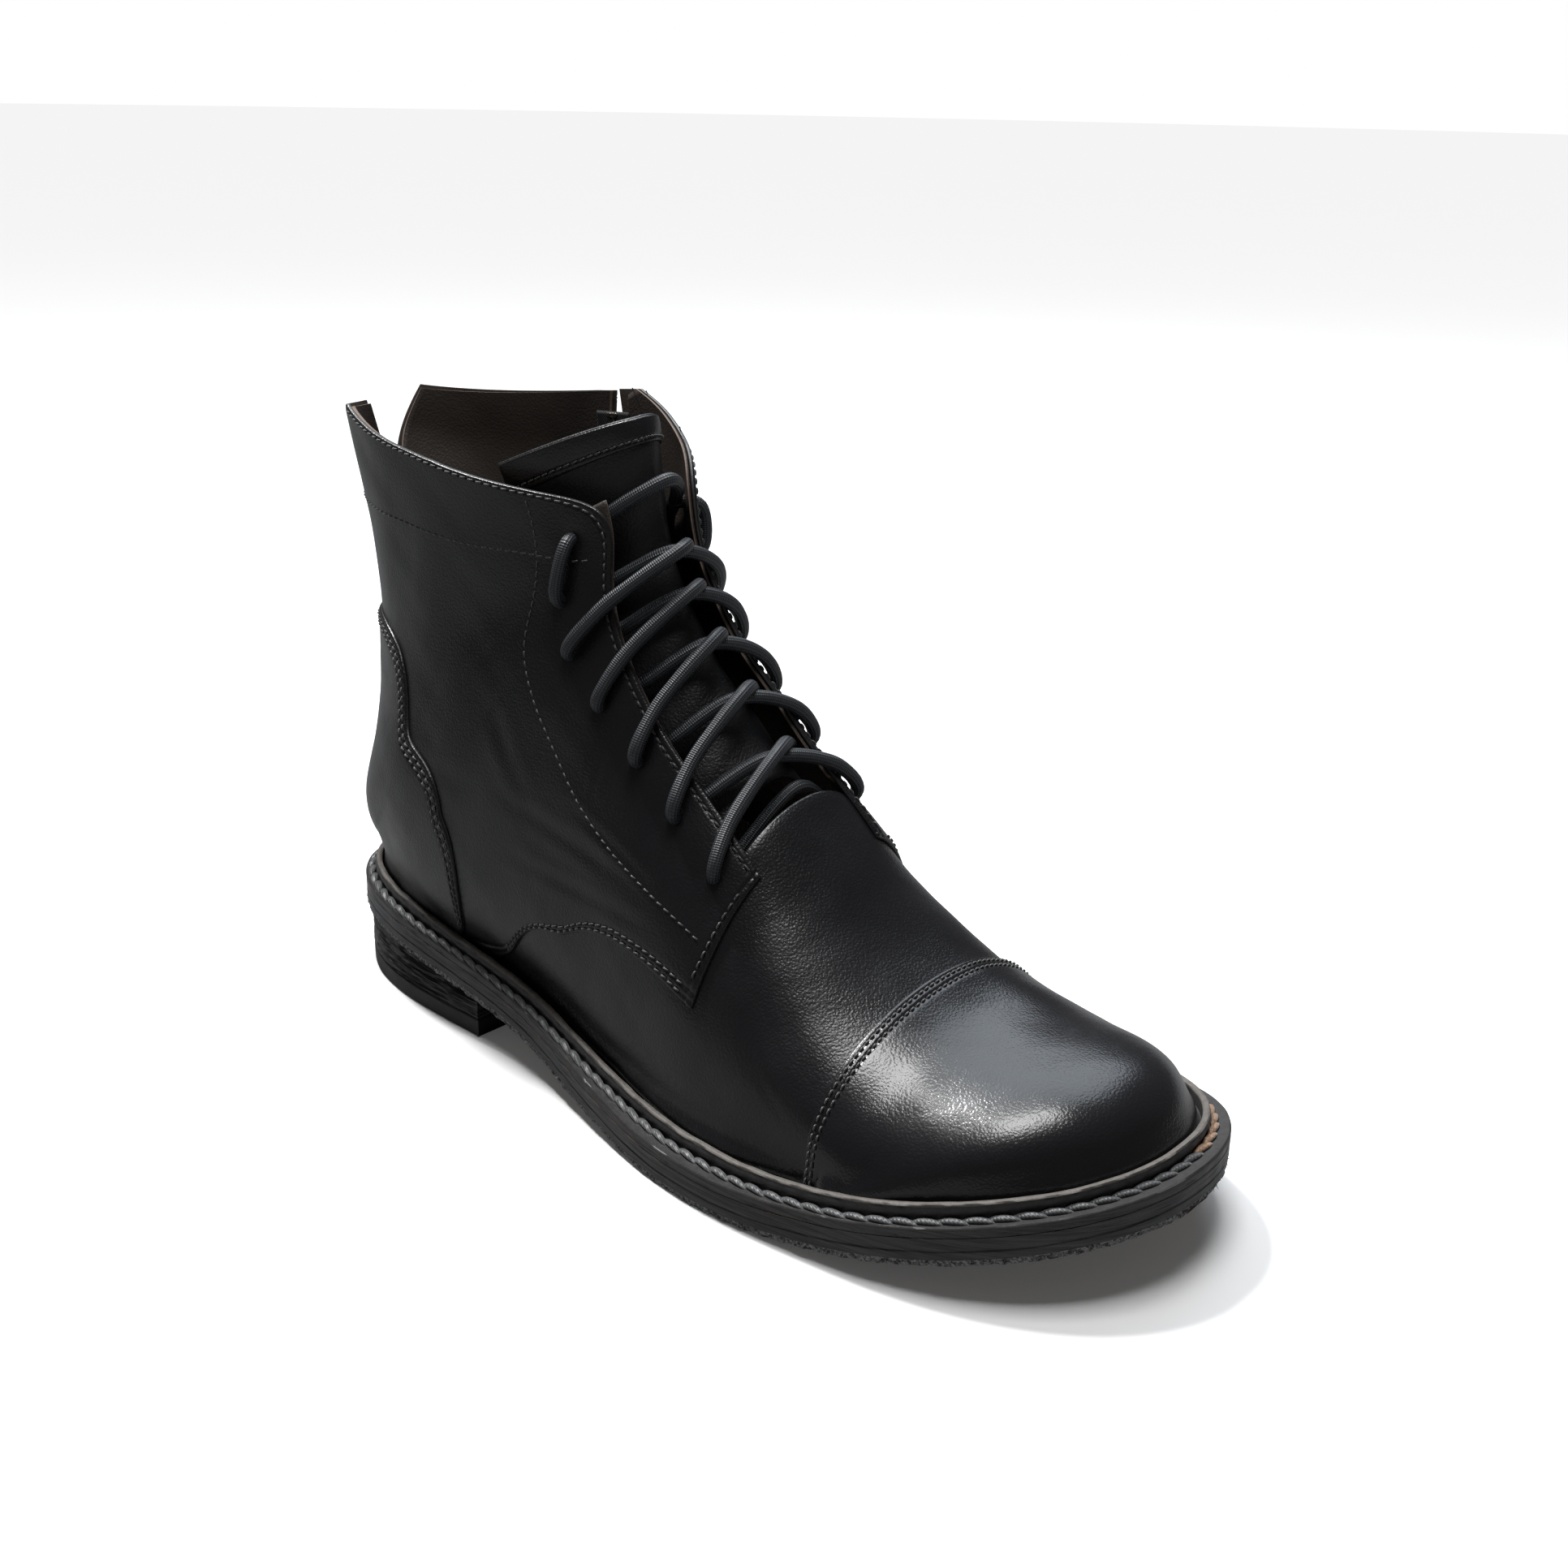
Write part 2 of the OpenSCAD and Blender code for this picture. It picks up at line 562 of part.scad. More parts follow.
// The strand that starts at hole 1 of one side changes sides at every hole
function climb(first) =
    [for (k = [0:4]) let (out = (k % 2 == 0) == (first == 0))
        each strand(k, out ? eyelet_out : eyelet_in, out ? eyelet_in : eyelet_out,
            out ? front_out : front_in, out ? front_in : front_out, out ? 3.4 : -1.2)];
// At hole 6 the lace runs up the outside to hole 7 and goes in
function finish(u) =
    [[EYELET_S[5], u, lace_under], [EYELET_S[5] + 0.12, u, lace_over],
     [EYELET_S[6] - 0.12, u, lace_over], [EYELET_S[6], u, lace_under]];
// Ends tucked in between the tongue and the inner facing
TUCK_A = [[14.8, -0.19, lace_under], [14.9, -0.1, -2.8], [14.95, 0, -2.6], [14.9, 0.08, -3.2],
    [14.75, 0.19, lace_under], [14.3, 0.3, lace_under], [13.4, 0.335, lace_under], [12.5, 0.34, lace_under],
    [11.7, 0.345, lace_under]];
TUCK_B = [[14.3, 0.25, lace_under], [13.5, 0.265, lace_under], [12.7, 0.27, lace_under], [12.0, 0.275, lace_under]];
ROUTE = concat(
    reverse(concat(climb(0), finish(eyelet_in), TUCK_B)),
    [[EYELET_S[0], 0, lace_under]],
    concat(climb(1), finish(eyelet_out), TUCK_A));
LACE = [for (p = ROUTE) at(p[0], p[1], p[2])];
function unit(v) = v / norm(v);
// Directions and side vectors, carried along so that the tube doesn't twist
function way(path, i) =
    unit(path[min(i + 1, len(path) - 1)] - path[max(i - 1, 0)]);
function frames(path, i = 0, last = [0, 0, 0], out = []) =
    i == len(path) ? out :
    let (t = way(path, i),
         ref = i == 0 ? cross(t, [0.3, 0.5, 0.8]) : last - (last * t) * t,
         n = unit(ref))
    frames(path, i + 1, n, concat(out, [[t, n, cross(t, n)]]));
module tube(path, d, sides) {
    f = frames(path);
    n = len(path);
    points = concat([for (i = [0:n - 1]) for (k = [0:sides - 1])
        path[i] + d / 2 * (cos(360 * k / sides) * f[i][1] + sin(360 * k / sides) * f[i][2])]);
    faces = concat(
        [[for (k = [0:sides - 1]) k]],
        [for (i = [0:n - 2]) for (k = [0:sides - 1])
            let (a = i * sides + k, b = i * sides + (k + 1) % sides)
            [a, a + sides, b + sides, b]],
        [[for (k = [sides - 1:-1:0]) (n - 1) * sides + k]]);
    polyhedron(points = points, faces = faces, convexity = 20);
}
module lace() {
    color([0.12, 0.12, 0.13])
        tube(LACE, lace_d, lace_sides);
}
module aglet(end, before) {
    d = unit(end - before);
    translate(end)
        rotate([0, acos(d[2]), atan2(d[1], d[0])])
            cylinder(d = aglet_d, h = aglet_len);
}
module lace_aglets() {
    color([0.1, 0.1, 0.11]) {
        aglet(LACE[0], LACE[1]);
        aglet(LACE[len(LACE) - 1], LACE[len(LACE) - 2]);
    }
}

// ---- zip ----
module on_zip() {
    translate(zip_foot)
        rotate(zip_lean)
            rotate([0, 0, zip_turn])
                children();
}
module zip_tape(side) {
    on_zip()
        translate([side > 0 ? tooth_gap + tooth[0] : -tooth_gap - tooth[0] - tape_w, -tape_t / 2, -2])
            cube([tape_w, tape_t, zip_len + 4]);
}
module zip_teeth(side) {
    on_zip()
        for (z = [0:tooth_pitch:zip_len - tooth[2]])
            translate([side > 0 ? tooth_gap : -tooth_gap - tooth[0], -tooth[1] / 2, z])
                cube(tooth);
}
module zip_tape_front() {
    color([0.08, 0.08, 0.08])
        zip_tape(1);
}
module zip_tape_rear() {
    color([0.08, 0.08, 0.08])
        zip_tape(-1);
}
module zip_teeth_front() {
    color([0.35, 0.33, 0.3])
        zip_teeth(1);
}
module zip_teeth_rear() {
    color([0.35, 0.33, 0.3])
        zip_teeth(-1);
}
stop_h = 1.6;
module zip_stops() {
    color([0.45, 0.42, 0.38])
        on_zip() {
            translate([-tooth_gap - tooth[0], -tooth[1] / 2, -stop_h - 0.2])
                cube([2 * (tooth_gap + tooth[0]), tooth[1], stop_h]);
            for (x = [tooth_gap, -tooth_gap - tooth[0]])
                translate([x, -tooth[1] / 2, zip_len + 0.2])
                    cube([tooth[0], tooth[1], stop_h]);
        }
}
slider_z = zip_len - slider_len - 2;   // slider at rest, zip closed
pin_z = slider_z + slider_len - 1.6;
ear = [1, 1.6];
knuckle_w = 2.2;
module zip_slider() {
    color([0.45, 0.42, 0.38])
        on_zip() {
            translate([-plate_w / 2, plate_gap, slider_z])
                cube([plate_w, plate_t, slider_len]);
            translate([-plate_w / 2, -plate_gap - plate_t, slider_z])
                cube([plate_w, plate_t, slider_len]);
            translate([-web_w / 2, -plate_gap - 0.2, slider_z])
                cube([web_w, 2 * plate_gap + 0.4, slider_len]);
            for (x = [-1.3 - ear[0], 1.3])
                difference() {
                    translate([x, plate_gap + plate_t - 0.2, pin_z - ear[1]])
                        cube([ear[0], pin_h - plate_gap - plate_t + 1.2, 2 * ear[1]]);
                    translate([x - 1, pin_h, pin_z])
                        rotate([0, 90, 0])
                            cylinder(d = pin_d, h = 4);
                }
            translate([-2.3, pin_h, pin_z])
                rotate([0, 90, 0])
                    cylinder(d = pin_d, h = 4.6);
        }
}
pull_w = 4.6;
pull_t = 1.1;
pull_bore = 1.5;
knuckle_d = 3;
module zip_puller() {
    color([0.45, 0.42, 0.38])
        on_zip()
            translate([0, pin_h, pin_z])
                difference() {
                    union() {
                        translate([-knuckle_w / 2, 0, 0])
                            rotate([0, 90, 0])
                                cylinder(d = knuckle_d, h = knuckle_w);
                        translate([-knuckle_w / 2, -pull_t / 2, -3])
                            cube([knuckle_w, pull_t, 3]);
                        translate([-pull_w / 2, -pull_t / 2, -pull_len])
                            cube([pull_w, pull_t, pull_len - 2.4]);
                    }
                    translate([-3, 0, 0])
                        rotate([0, 90, 0])
                            cylinder(d = pull_bore, h = 6);
                    translate([0, 2, 3 - pull_len])
                        rotate([90, 0, 0])
                            cylinder(d = 2, h = 4);
                }
}

outsole();
midsole();
welt();
cork_filler();
shank();
insole();
sock_liner();
heel_top_piece();
heel_lift_lower();
heel_lift_upper();
heel_wedge();
heel_nails();
toe_cap();
toe_puff();
vamp();
vamp_lining();
lateral_quarter();
medial_quarter_front();
medial_quarter_rear();
counter_cover();
heel_counter();
lateral_facing();
medial_facing();
lateral_lining();
medial_lining();
tongue();
tongue_band();
lace();
lace_aglets();
zip_tape_front();
zip_tape_rear();
zip_teeth_front();
zip_teeth_rear();
zip_stops();
zip_slider();
zip_puller();
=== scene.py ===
import math

import bmesh
import bpy
import numpy as np
from mathutils import Matrix


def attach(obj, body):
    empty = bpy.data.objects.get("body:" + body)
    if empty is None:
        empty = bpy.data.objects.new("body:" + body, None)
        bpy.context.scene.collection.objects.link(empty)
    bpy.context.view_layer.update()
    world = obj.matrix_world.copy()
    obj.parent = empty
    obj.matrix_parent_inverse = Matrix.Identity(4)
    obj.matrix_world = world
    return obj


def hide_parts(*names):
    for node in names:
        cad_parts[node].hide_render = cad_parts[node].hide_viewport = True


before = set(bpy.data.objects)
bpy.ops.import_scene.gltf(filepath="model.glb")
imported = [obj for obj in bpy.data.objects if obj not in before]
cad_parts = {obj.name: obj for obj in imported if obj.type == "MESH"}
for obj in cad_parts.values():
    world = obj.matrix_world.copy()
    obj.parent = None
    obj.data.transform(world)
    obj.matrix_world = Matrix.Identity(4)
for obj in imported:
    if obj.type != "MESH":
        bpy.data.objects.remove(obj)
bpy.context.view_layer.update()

# Lengths in this script are millimetres, and mesh() turns them into metres.
MM = 0.001
rng = np.random.default_rng(7)

# ---------------------------------------------------------------- last surface
# The same surface and the same numbers as in the CAD source: a place on the upper is
# [station, girth], with a height in or out of the surface.
HEEL_X, WAIST_X, FAN_X, TOE_X = -143.0, -4.0, 80.0, 144.0
TOE_Y, TOE_N, HEEL_N = 7.0, 2.2, 4.0
SOLE_X, SOLE_STEP = -164.0, 40.0
SOLE_Z = [22, 20, 16, 9, 2, -1, 1, 9, 18]
FEATHER = [[32, 28], [31, 28], [29, 27], [28, 24], [29, 22], [36, 25], [43, 31], [49, 38], [50, 44], [47, 48]]
STATIONS = [
    [144, 0, 80, 0, 7, 47, 48, 0.00, 2.2],
    [143, 8, 81, 0, 7, 49, 48, 0.04, 2.1],
    [137, 18, 82, 0, 7, 50, 48, 0.10, 2.0],
    [123, 25, 83, 0, 7, 50, 47, 0.16, 1.9],
    [104, 29, 84, 0, 7, 50, 47, 0.22, 2.0],
    [86, 35, 84, 0, 6, 51, 47, 0.26, 2.0],
    [69, 46, 70, 0, 5, 51, 46, 0.28, 2.0],
    [51, 61, 52, 0, 4, 51, 43, 0.28, 2.0],
    [35, 79, 30, 0, 3, 49, 39, 0.28, 2.0],
    [18, 97, 4, 0, 1, 45, 35, 0.28, 2.0],
    [4, 112, -30, 0, 0, 41, 33, 0.28, 2.0],
    [-7, 126, -74, 0, -1, 39, 33, 0.30, 1.9],
    [-14, 137, -122, 0, -1, 37, 33, 0.34, 1.9],
    [-17, 145, -156, 8, -1, 34, 33, 0.38, 1.9],
    [-19, 152, -147, 34, -1, 29, 33, 0.42, 1.9],
    [-21, 160, -142, 70, -1, 26, 33, 0.45, 1.9],
    [-24, 171, -144, 102, -1, 27, 34, 0.48, 1.9],
    [-28, 185, -149, 130, -1, 30, 36, 0.50, 1.9],
    [-32, 200, -153, 154, -1, 33, 38, 0.50, 1.9],
]
LAST_ROW = len(STATIONS) - 1
OUTSOLE_T, MIDSOLE_T, WELT_T = 4.0, 4.0, 3.0
SOLE_T = OUTSOLE_T + MIDSOLE_T + WELT_T
BOTTOM, SEAM, TIP = 0.985, 0.996, 0.12
CAP_STATION = 5.7


def spline(table, s):
    """Uniform cubic B-spline through a table, s from 0 to len(table) - 1."""
    p = np.asarray(table, float)
    if p.ndim == 1:
        p = p[:, None]
    p = np.vstack([2 * p[0] - p[1], p, 2 * p[-1] - p[-2]])
    n = len(p) - 3
    t = np.clip(np.asarray(s, float), 0, n)
    i = np.minimum(t.astype(int), n - 1)
    f = (t - i)[..., None]
    return ((1 - f) ** 3 * p[i] + (3 * f ** 3 - 6 * f ** 2 + 4) * p[i + 1]
            + (-3 * f ** 3 + 3 * f ** 2 + 3 * f + 1) * p[i + 2] + f ** 3 * p[i + 3]) / 6


def unit(v):
    return v / (np.linalg.norm(v, axis=-1, keepdims=True) + 1e-12)


def sole_z(x):
    return np.maximum(0, spline(SOLE_Z, (np.asarray(x, float) - SOLE_X) / SOLE_STEP)[..., 0])


def feather_y(x):
    """y of the feather line, outer and inner."""
    x = np.asarray(x, float)
    c = spline(FEATHER, 9 * (np.clip(x, HEEL_X, FAN_X) - HEEL_X) / (FAN_X - HEEL_X))
    q = np.clip((WAIST_X - x) / (WAIST_X - HEEL_X), 0, 1)
    t = np.clip((x - FAN_X) / (TOE_X - FAN_X), 0, 1)
    e = np.sqrt(np.maximum(0, 1 - q ** HEEL_N)) * np.maximum(0, 1 - t ** TOE_N) ** (1 / TOE_N)
    return -c[..., 0] * e + TOE_Y * t, c[..., 1] * e + TOE_Y * t


def on_last(s, u):
    """Points on the last; girth is 0 on the ridge, negative on the outer side and 1 or -1 at the bottom."""
    r = spline(STATIONS, s)
    top_x, top_z, low_x, low_z, ridge_y, w_out, w_in, widest, round_n = [r[..., k] for k in range(9)]
    low_z = sole_z(np.maximum(low_x, HEEL_X)) + SOLE_T + low_z
    top_z = sole_z(top_x) + SOLE_T + top_z
    edge_out, edge_in = feather_y(np.clip(low_x, HEEL_X, FAN_X))
    outer = u < 0
    w_max = np.where(outer, w_out, w_in)
    w_low = np.minimum(np.where(outer, -edge_out, edge_in), w_max)
    w_low = np.where(low_x > FAN_X, w_max, w_low)
    a = np.abs(u)
    turn = np.clip(a, 0, 0.5) * np.pi
    fall = np.clip(a - 0.5, 0, 0.5) * 2
    shut = np.clip(((w_max - w_low) / w_max - 0.4) / 0.6, 0, 1)
    v = fall + shut * (np.sin(np.pi / 2 * fall) - fall)
    upper = a < 0.5
    w = np.where(upper, w_max * np.sin(turn) ** (2 / round_n),
                 w_low + (w_max - w_low) * np.maximum(0, 1 - v * v) ** (1 - 0.5 * shut))
    h = np.where(upper, widest + (1 - widest) * np.maximum(np.cos(turn), 0) ** (2 / round_n),
                 widest * (1 - v))
    y = np.where(outer, -w, w) + ridge_y * h
    return np.stack([low_x + h * (top_x - low_x), y, low_z + h * (top_z - low_z)], -1)


def raw_at(s, girth, height=0.0):
    """Points and normals on the smooth last."""
    s, girth, height = np.broadcast_arrays(*(np.asarray(v, float) for v in (s, girth, height)))
    u = np.where(girth < -1, girth + 2, girth)
    du = on_last(s, np.minimum(1, u + 0.01)) - on_last(s, np.maximum(-1, u - 0.01))
    ds = on_last(np.minimum(LAST_ROW, s + 0.05), u) - on_last(np.maximum(0, s - 0.05), u)
    n = unit(np.cross(du, ds))
    return on_last(s, u) + height[..., None] * n, n


# ---------------------------------------------------------------- relief of the leather
EYELET_S = [8.5, 9.35, 10.2, 11.1, 12.1, 13.3, 14.7]
EYELET_OUT, EYELET_IN, HOLE_D = -0.25, 0.19, 4.3
# Long soft waves: wavelength, height, direction
WAVES = [(61, 0.30, (0.9, 0.2, 0.5)), (47, 0.22, (0.1, 0.8, -0.6)), (33, 0.14, (-0.5, 0.5, 0.7)),
         (23, 0.07, (0.7, -0.6, 0.3)), (17, 0.045, (0.2, 0.4, 0.9)), (11, 0.02, (-0.8, 0.3, 0.5))]
# Creases: from [station, girth] to [station, girth], half width, depth
CREASES = [
    ([11.5, -0.42], [9.3, -0.36], 2.2, 0.20), ([11.1, -0.47], [9.0, -0.385], 1.9, 0.17),
    ([10.7, -0.36], [9.0, -0.34], 1.5, 0.14), ([12.4, -0.36], [11.0, -0.40], 2.6, 0.15),
    ([12.9, -0.50], [11.8, -0.44], 2.8, 0.14), ([12.5, -0.30], [12.35, -0.42], 1.6, 0.10),
    ([13.6, -0.31], [13.3, -0.44], 1.8, 0.09), ([11.6, -0.285], [11.4, -0.345], 1.2, 0.10),
    ([10.6, -0.285], [10.45, -0.335], 1.1, 0.10), ([10.05, -0.225], [9.95, -0.275], 0.7, 0.10),
    ([9.9, -0.215], [9.8, -0.27], 0.7, 0.11), ([9.2, -0.21], [9.1, -0.25], 0.7, 0.11),
    ([9.05, -0.205], [8.95, -0.25], 0.6, 0.09), ([8.9, -0.205], [8.8, -0.245], 0.6, 0.09),
    ([6.9, -0.42], [6.15, -0.47], 1.2, 0.09), ([7.3, -0.30], [6.5, -0.38], 1.6, 0.07),
    ([4.9, -0.83], [4.2, -0.86], 1.3, 0.09), ([11.6, 0.52], [10.4, 0.44], 2.4, 0.17),
    ([12.6, 0.36], [12.4, 0.25], 2.0, 0.11), ([11.0, 0.40], [9.4, 0.36], 2.2, 0.16),
    ([13.2, 0.60], [12.6, 0.48], 2.6, 0.14), ([7.6, 0.30], [6.6, 0.42], 1.8, 0.09),
]
# The upper swells over the lip of the welt, less so at the toe
SWELL, SWELL_LOST, SWELL_Z, SWELL_HALF = 2.2, 1.1, 3.4, 3.2
HOLE_PULL, HOLE_PULL_R = 0.45, 3.4
HOLES = np.concatenate([raw_at(EYELET_S, EYELET_OUT)[0], raw_at(EYELET_S, EYELET_IN)[0]])


def crease_lines():
    lines = []
    for start, end, width, depth in CREASES:
        t = np.linspace(0, 1, 7)[:, None]
        places = np.array(start) + t * (np.array(end) - np.array(start))
        lines.append((raw_at(places[:, 0], places[:, 1])[0], width, depth))
    return lines


CREASE_LINES = crease_lines()


def nearest_on(line, p):
    """Distance from points to a line of segments, and how far along it the nearest spot is, 0 to 1."""
    best = np.full(p.shape[:-1], 1e9)
    share = np.zeros(p.shape[:-1])
    for k, (a, b) in enumerate(zip(line[:-1], line[1:])):
        t = np.clip((p - a) @ (b - a) / ((b - a) @ (b - a)), 0, 1)
        d = np.linalg.norm(p - a - t[..., None] * (b - a), axis=-1)
        closer = d < best
        best[closer] = d[closer]
        share[closer] = (k + t[closer]) / (len(line) - 1)
    return best, share


def relief(p):
    """Height of the leather's waves, creases and pulled lace holes at points near the surface."""
    out = np.zeros(p.shape[:-1])
    for k, (length, height, way) in enumerate(WAVES):
        phase = p @ unit(np.array(way)) * 2 * np.pi / length
        cross = p @ np.roll(way, 1) * 2 * np.pi / (length * 1.7)
        out += height * np.sin(phase + 1.3 * k + 1.5 * np.sin(cross + k))
    for line, width, depth in CREASE_LINES:
        d, share = nearest_on(line, p)
        d = d / width
        fade = np.sin(np.pi * np.clip(share, 0.03, 0.97)) ** 0.7
        out += depth * fade * (0.6 * np.exp(-(d - 1.9) ** 2) - np.exp(-d * d))
    for hole in HOLES:
        d = np.linalg.norm(p - hole, axis=-1)
        out -= HOLE_PULL * np.exp(-(d / HOLE_PULL_R) ** 2)
    rise = p[..., 2] - sole_z(p[..., 0]) - SOLE_T
    swell = SWELL - SWELL_LOST * np.clip((p[..., 0] - 50) / 40, 0, 1)
    return out + swell * np.exp(-((rise - SWELL_Z) / SWELL_HALF) ** 2)


def at(s, girth, height=0.0):
    """Points on the creased upper."""
    base, n = raw_at(s, girth)
    height = np.broadcast_to(np.asarray(height, float), base.shape[:-1])
    return base + (height + relief(base))[..., None] * n


# ---------------------------------------------------------------- mesh helpers
def mesh(name, points, faces, materials, face_slots=None, uv=None, smooth=True):
    data = bpy.data.meshes.new(name)
    data.from_pydata((np.asarray(points, float).reshape(-1, 3) * MM).tolist(), [], [tuple(f) for f in faces])
    for m in materials:
        data.materials.append(m)
    if face_slots is not None:
        data.polygons.foreach_set("material_index", np.asarray(face_slots, np.int32))
    data.polygons.foreach_set("use_smooth", np.full(len(data.polygons), smooth))
    if uv is not None:
        loops = np.empty(len(data.loops), np.int32)
        data.loops.foreach_get("vertex_index", loops)
        layer = data.uv_layers.new(name="uv")
        layer.data.foreach_set("uv", np.asarray(uv, float).reshape(-1, 2)[loops].ravel())
    data.update()
    obj = bpy.data.objects.new(name, data)
    bpy.context.collection.objects.link(obj)
    return obj


def place(obj, body, slot, *nodes):
    """Rides a piece on its body and hides the CAD nodes it stands for; slot is not used."""
    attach(obj, body)
    if nodes:
        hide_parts(*nodes)
    return obj


def apply_modifiers(obj):
    shown = obj.evaluated_get(bpy.context.evaluated_depsgraph_get())
    data = bpy.data.meshes.new_from_object(shown)
    obj.modifiers.clear()
    obj.data = data


def grid_faces(rows, cols, start=0, flip=False, wrap_cols=False):
    i, j = np.meshgrid(np.arange(rows - 1), np.arange(cols if wrap_cols else cols - 1), indexing="ij")
    a = start + i * cols + j
    b = start + i * cols + (j + 1) % cols
    quads = np.stack([a, a + cols, b + cols, b], -1).reshape(-1, 4)
    return quads[:, ::-1] if flip else quads


def shell_mesh(name, outer, inner, materials, hole_cutter=None):
    """Closed leather sheet: outer face, inner face and cut edge, with one material each."""
    rows, cols = outer.shape[:2]
    size = rows * cols
    rim = np.concatenate([np.arange(cols), np.arange(1, rows) * cols + cols - 1,
                          (rows - 1) * cols + np.arange(cols - 2, -1, -1), np.arange(rows - 2, 0, -1) * cols])
    after = np.roll(rim, -1)
    faces = np.concatenate([grid_faces(rows, cols), grid_faces(rows, cols, size, flip=True),
                            np.stack([rim, after, after + size, rim + size], -1)])
    slots = np.repeat([0, 1, 2], [(rows - 1) * (cols - 1)] * 2 + [len(rim)])
    obj = mesh(name, np.concatenate([outer.reshape(-1, 3), inner.reshape(-1, 3)]), faces, materials, slots)
    if hole_cutter is not None:
        cut = obj.modifiers.new("holes", "BOOLEAN")
        cut.operation = "DIFFERENCE"
        cut.solver = "EXACT"
        cut.object = hole_cutter
        apply_modifiers(obj)
    return obj


# ---------------------------------------------------------------- leather panels
# Distances from a free edge, in mm, at which a panel has a line of points
NEAR = np.array([0, 0.12, 0.4, 0.8, 1.3, 1.8, 2.2, 2.6, 3.1, 3.6, 4.0, 4.4, 5.0, 6.0])
EDGE_ROUND, EDGE_DIP, EDGE_DIP_HALF = 0.55, 0.25, 1.6
GROOVE_DEPTH, GROOVE_HALF = 0.3, 0.42


def runs_line(table, t):
    table = np.asarray(table, float)
    k = np.asarray(t) * (len(table) - 1)
    return np.stack([np.interp(k, np.arange(len(table)), table[:, c]) for c in (0, 1)], -1)


def spread(length, low_free, high_free, step):
    """Distances from 0 to each length, close together near the free ends."""
    length = np.atleast_1d(length)[:, None]
    scale = np.minimum(1, length / (2.6 * NEAR[-1]))
    low = (NEAR if low_free else NEAR[:1]) * scale
    high = length - (NEAR if high_free else NEAR[:1])[::-1] * scale
    count = max(4, int(np.ceil(length.max() / step)))
    mid = low[:, -1:] + (high[:, :1] - low[:, -1:]) * np.linspace(0, 1, count + 1)[1:-1]
    return np.concatenate([low, mid, high], 1)


def arc(points):
    d = np.linalg.norm(np.diff(points, axis=-2), axis=-1)
    return np.concatenate([np.zeros(d.shape[:-1] + (1,)), np.cumsum(d, -1)], -1)


class Panel:
    """A leather panel between two edge lines a and b in [station, girth].

    free names the edges that end in the open: a, b, start or end. grooves maps an edge to the
    distances of the stitch rows that run along it."""

    def __init__(self, line_a, line_b, free="", grooves=None, step=1.7):
        self.free = free.split()
        self.grooves = grooves or {}
        probe = np.linspace(0, 1, 400)
        middle = (line_a(probe) + line_b(probe)) / 2
        length = arc(raw_at(middle[:, 0], middle[:, 1])[0])
        along = spread(length[-1], "start" in self.free, "end" in self.free, step)[0]
        r = np.interp(along, length, probe)
        self.from_start = along
        self.from_end = length[-1] - along
        a, b = line_a(r), line_b(r)
        t = np.linspace(0, 1, 60)
        fine = a[:, None] + t[:, None] * (b - a)[:, None]
        width = arc(raw_at(fine[..., 0], fine[..., 1])[0])
        across = spread(width[:, -1], "a" in self.free, "b" in self.free, step)
        self.from_a = across
        self.from_b = width[:, -1:] - across
        share = np.stack([np.interp(across[i], width[i], t) for i in range(len(r))])
        self.places = a[:, None] + share[..., None] * (b - a)[:, None]

    def distances(self):
        rows, cols = self.places.shape[:2]
        return {"a": self.from_a, "b": self.from_b,
                "start": np.repeat(self.from_start[:, None], cols, 1),
                "end": np.repeat(self.from_end[:, None], cols, 1)}

    def heights(self, low, high):
        """Outer and inner heights, with a rounded free edge and a groove under each stitch row."""
        d = self.distances()
        outer = np.full(self.places.shape[:2], float(high))
        if self.free:
            edge = np.min([d[name] for name in self.free], axis=0)
            k = np.clip(1 - edge / EDGE_ROUND, 0, 1)
            outer -= EDGE_ROUND * (1 - np.sqrt(1 - k * k))
            outer -= EDGE_DIP * np.exp(-(edge / EDGE_DIP_HALF) ** 2)
        for name, rows in self.grooves.items():
            for g in rows:
                outer -= GROOVE_DEPTH * np.exp(-((d[name] - g) / GROOVE_HALF) ** 2)
        return outer, np.full(self.places.shape[:2], float(low))

    def build(self, name, layer, materials, hole_cutter=None):
        outer, inner = self.heights(*layer)
        s, u = self.places[..., 0], self.places[..., 1]
        return shell_mesh(name, at(s, u, outer), at(s, u, inner), materials, hole_cutter)

    def row(self, edge, distance, start=0.0, end=1.0):
        """[station, girth] line that runs along an edge at a distance from it."""
        if edge in "ab":
            d = self.from_a if edge == "a" else self.from_b
            places = []
            for i in range(len(d)):
                order = np.argsort(d[i])
                places.append([np.interp(distance, d[i][order], self.places[i, order, c]) for c in (0, 1)])
        else:
            d = self.from_start if edge == "start" else self.from_end
            order = np.argsort(d)
            places = [[np.interp(distance, d[order], self.places[order, j, c]) for c in (0, 1)]
                      for j in range(self.places.shape[1])]
        places = np.array(places)
        n = len(places)
        return places[int(start * n):max(int(end * n), int(start * n) + 2)]


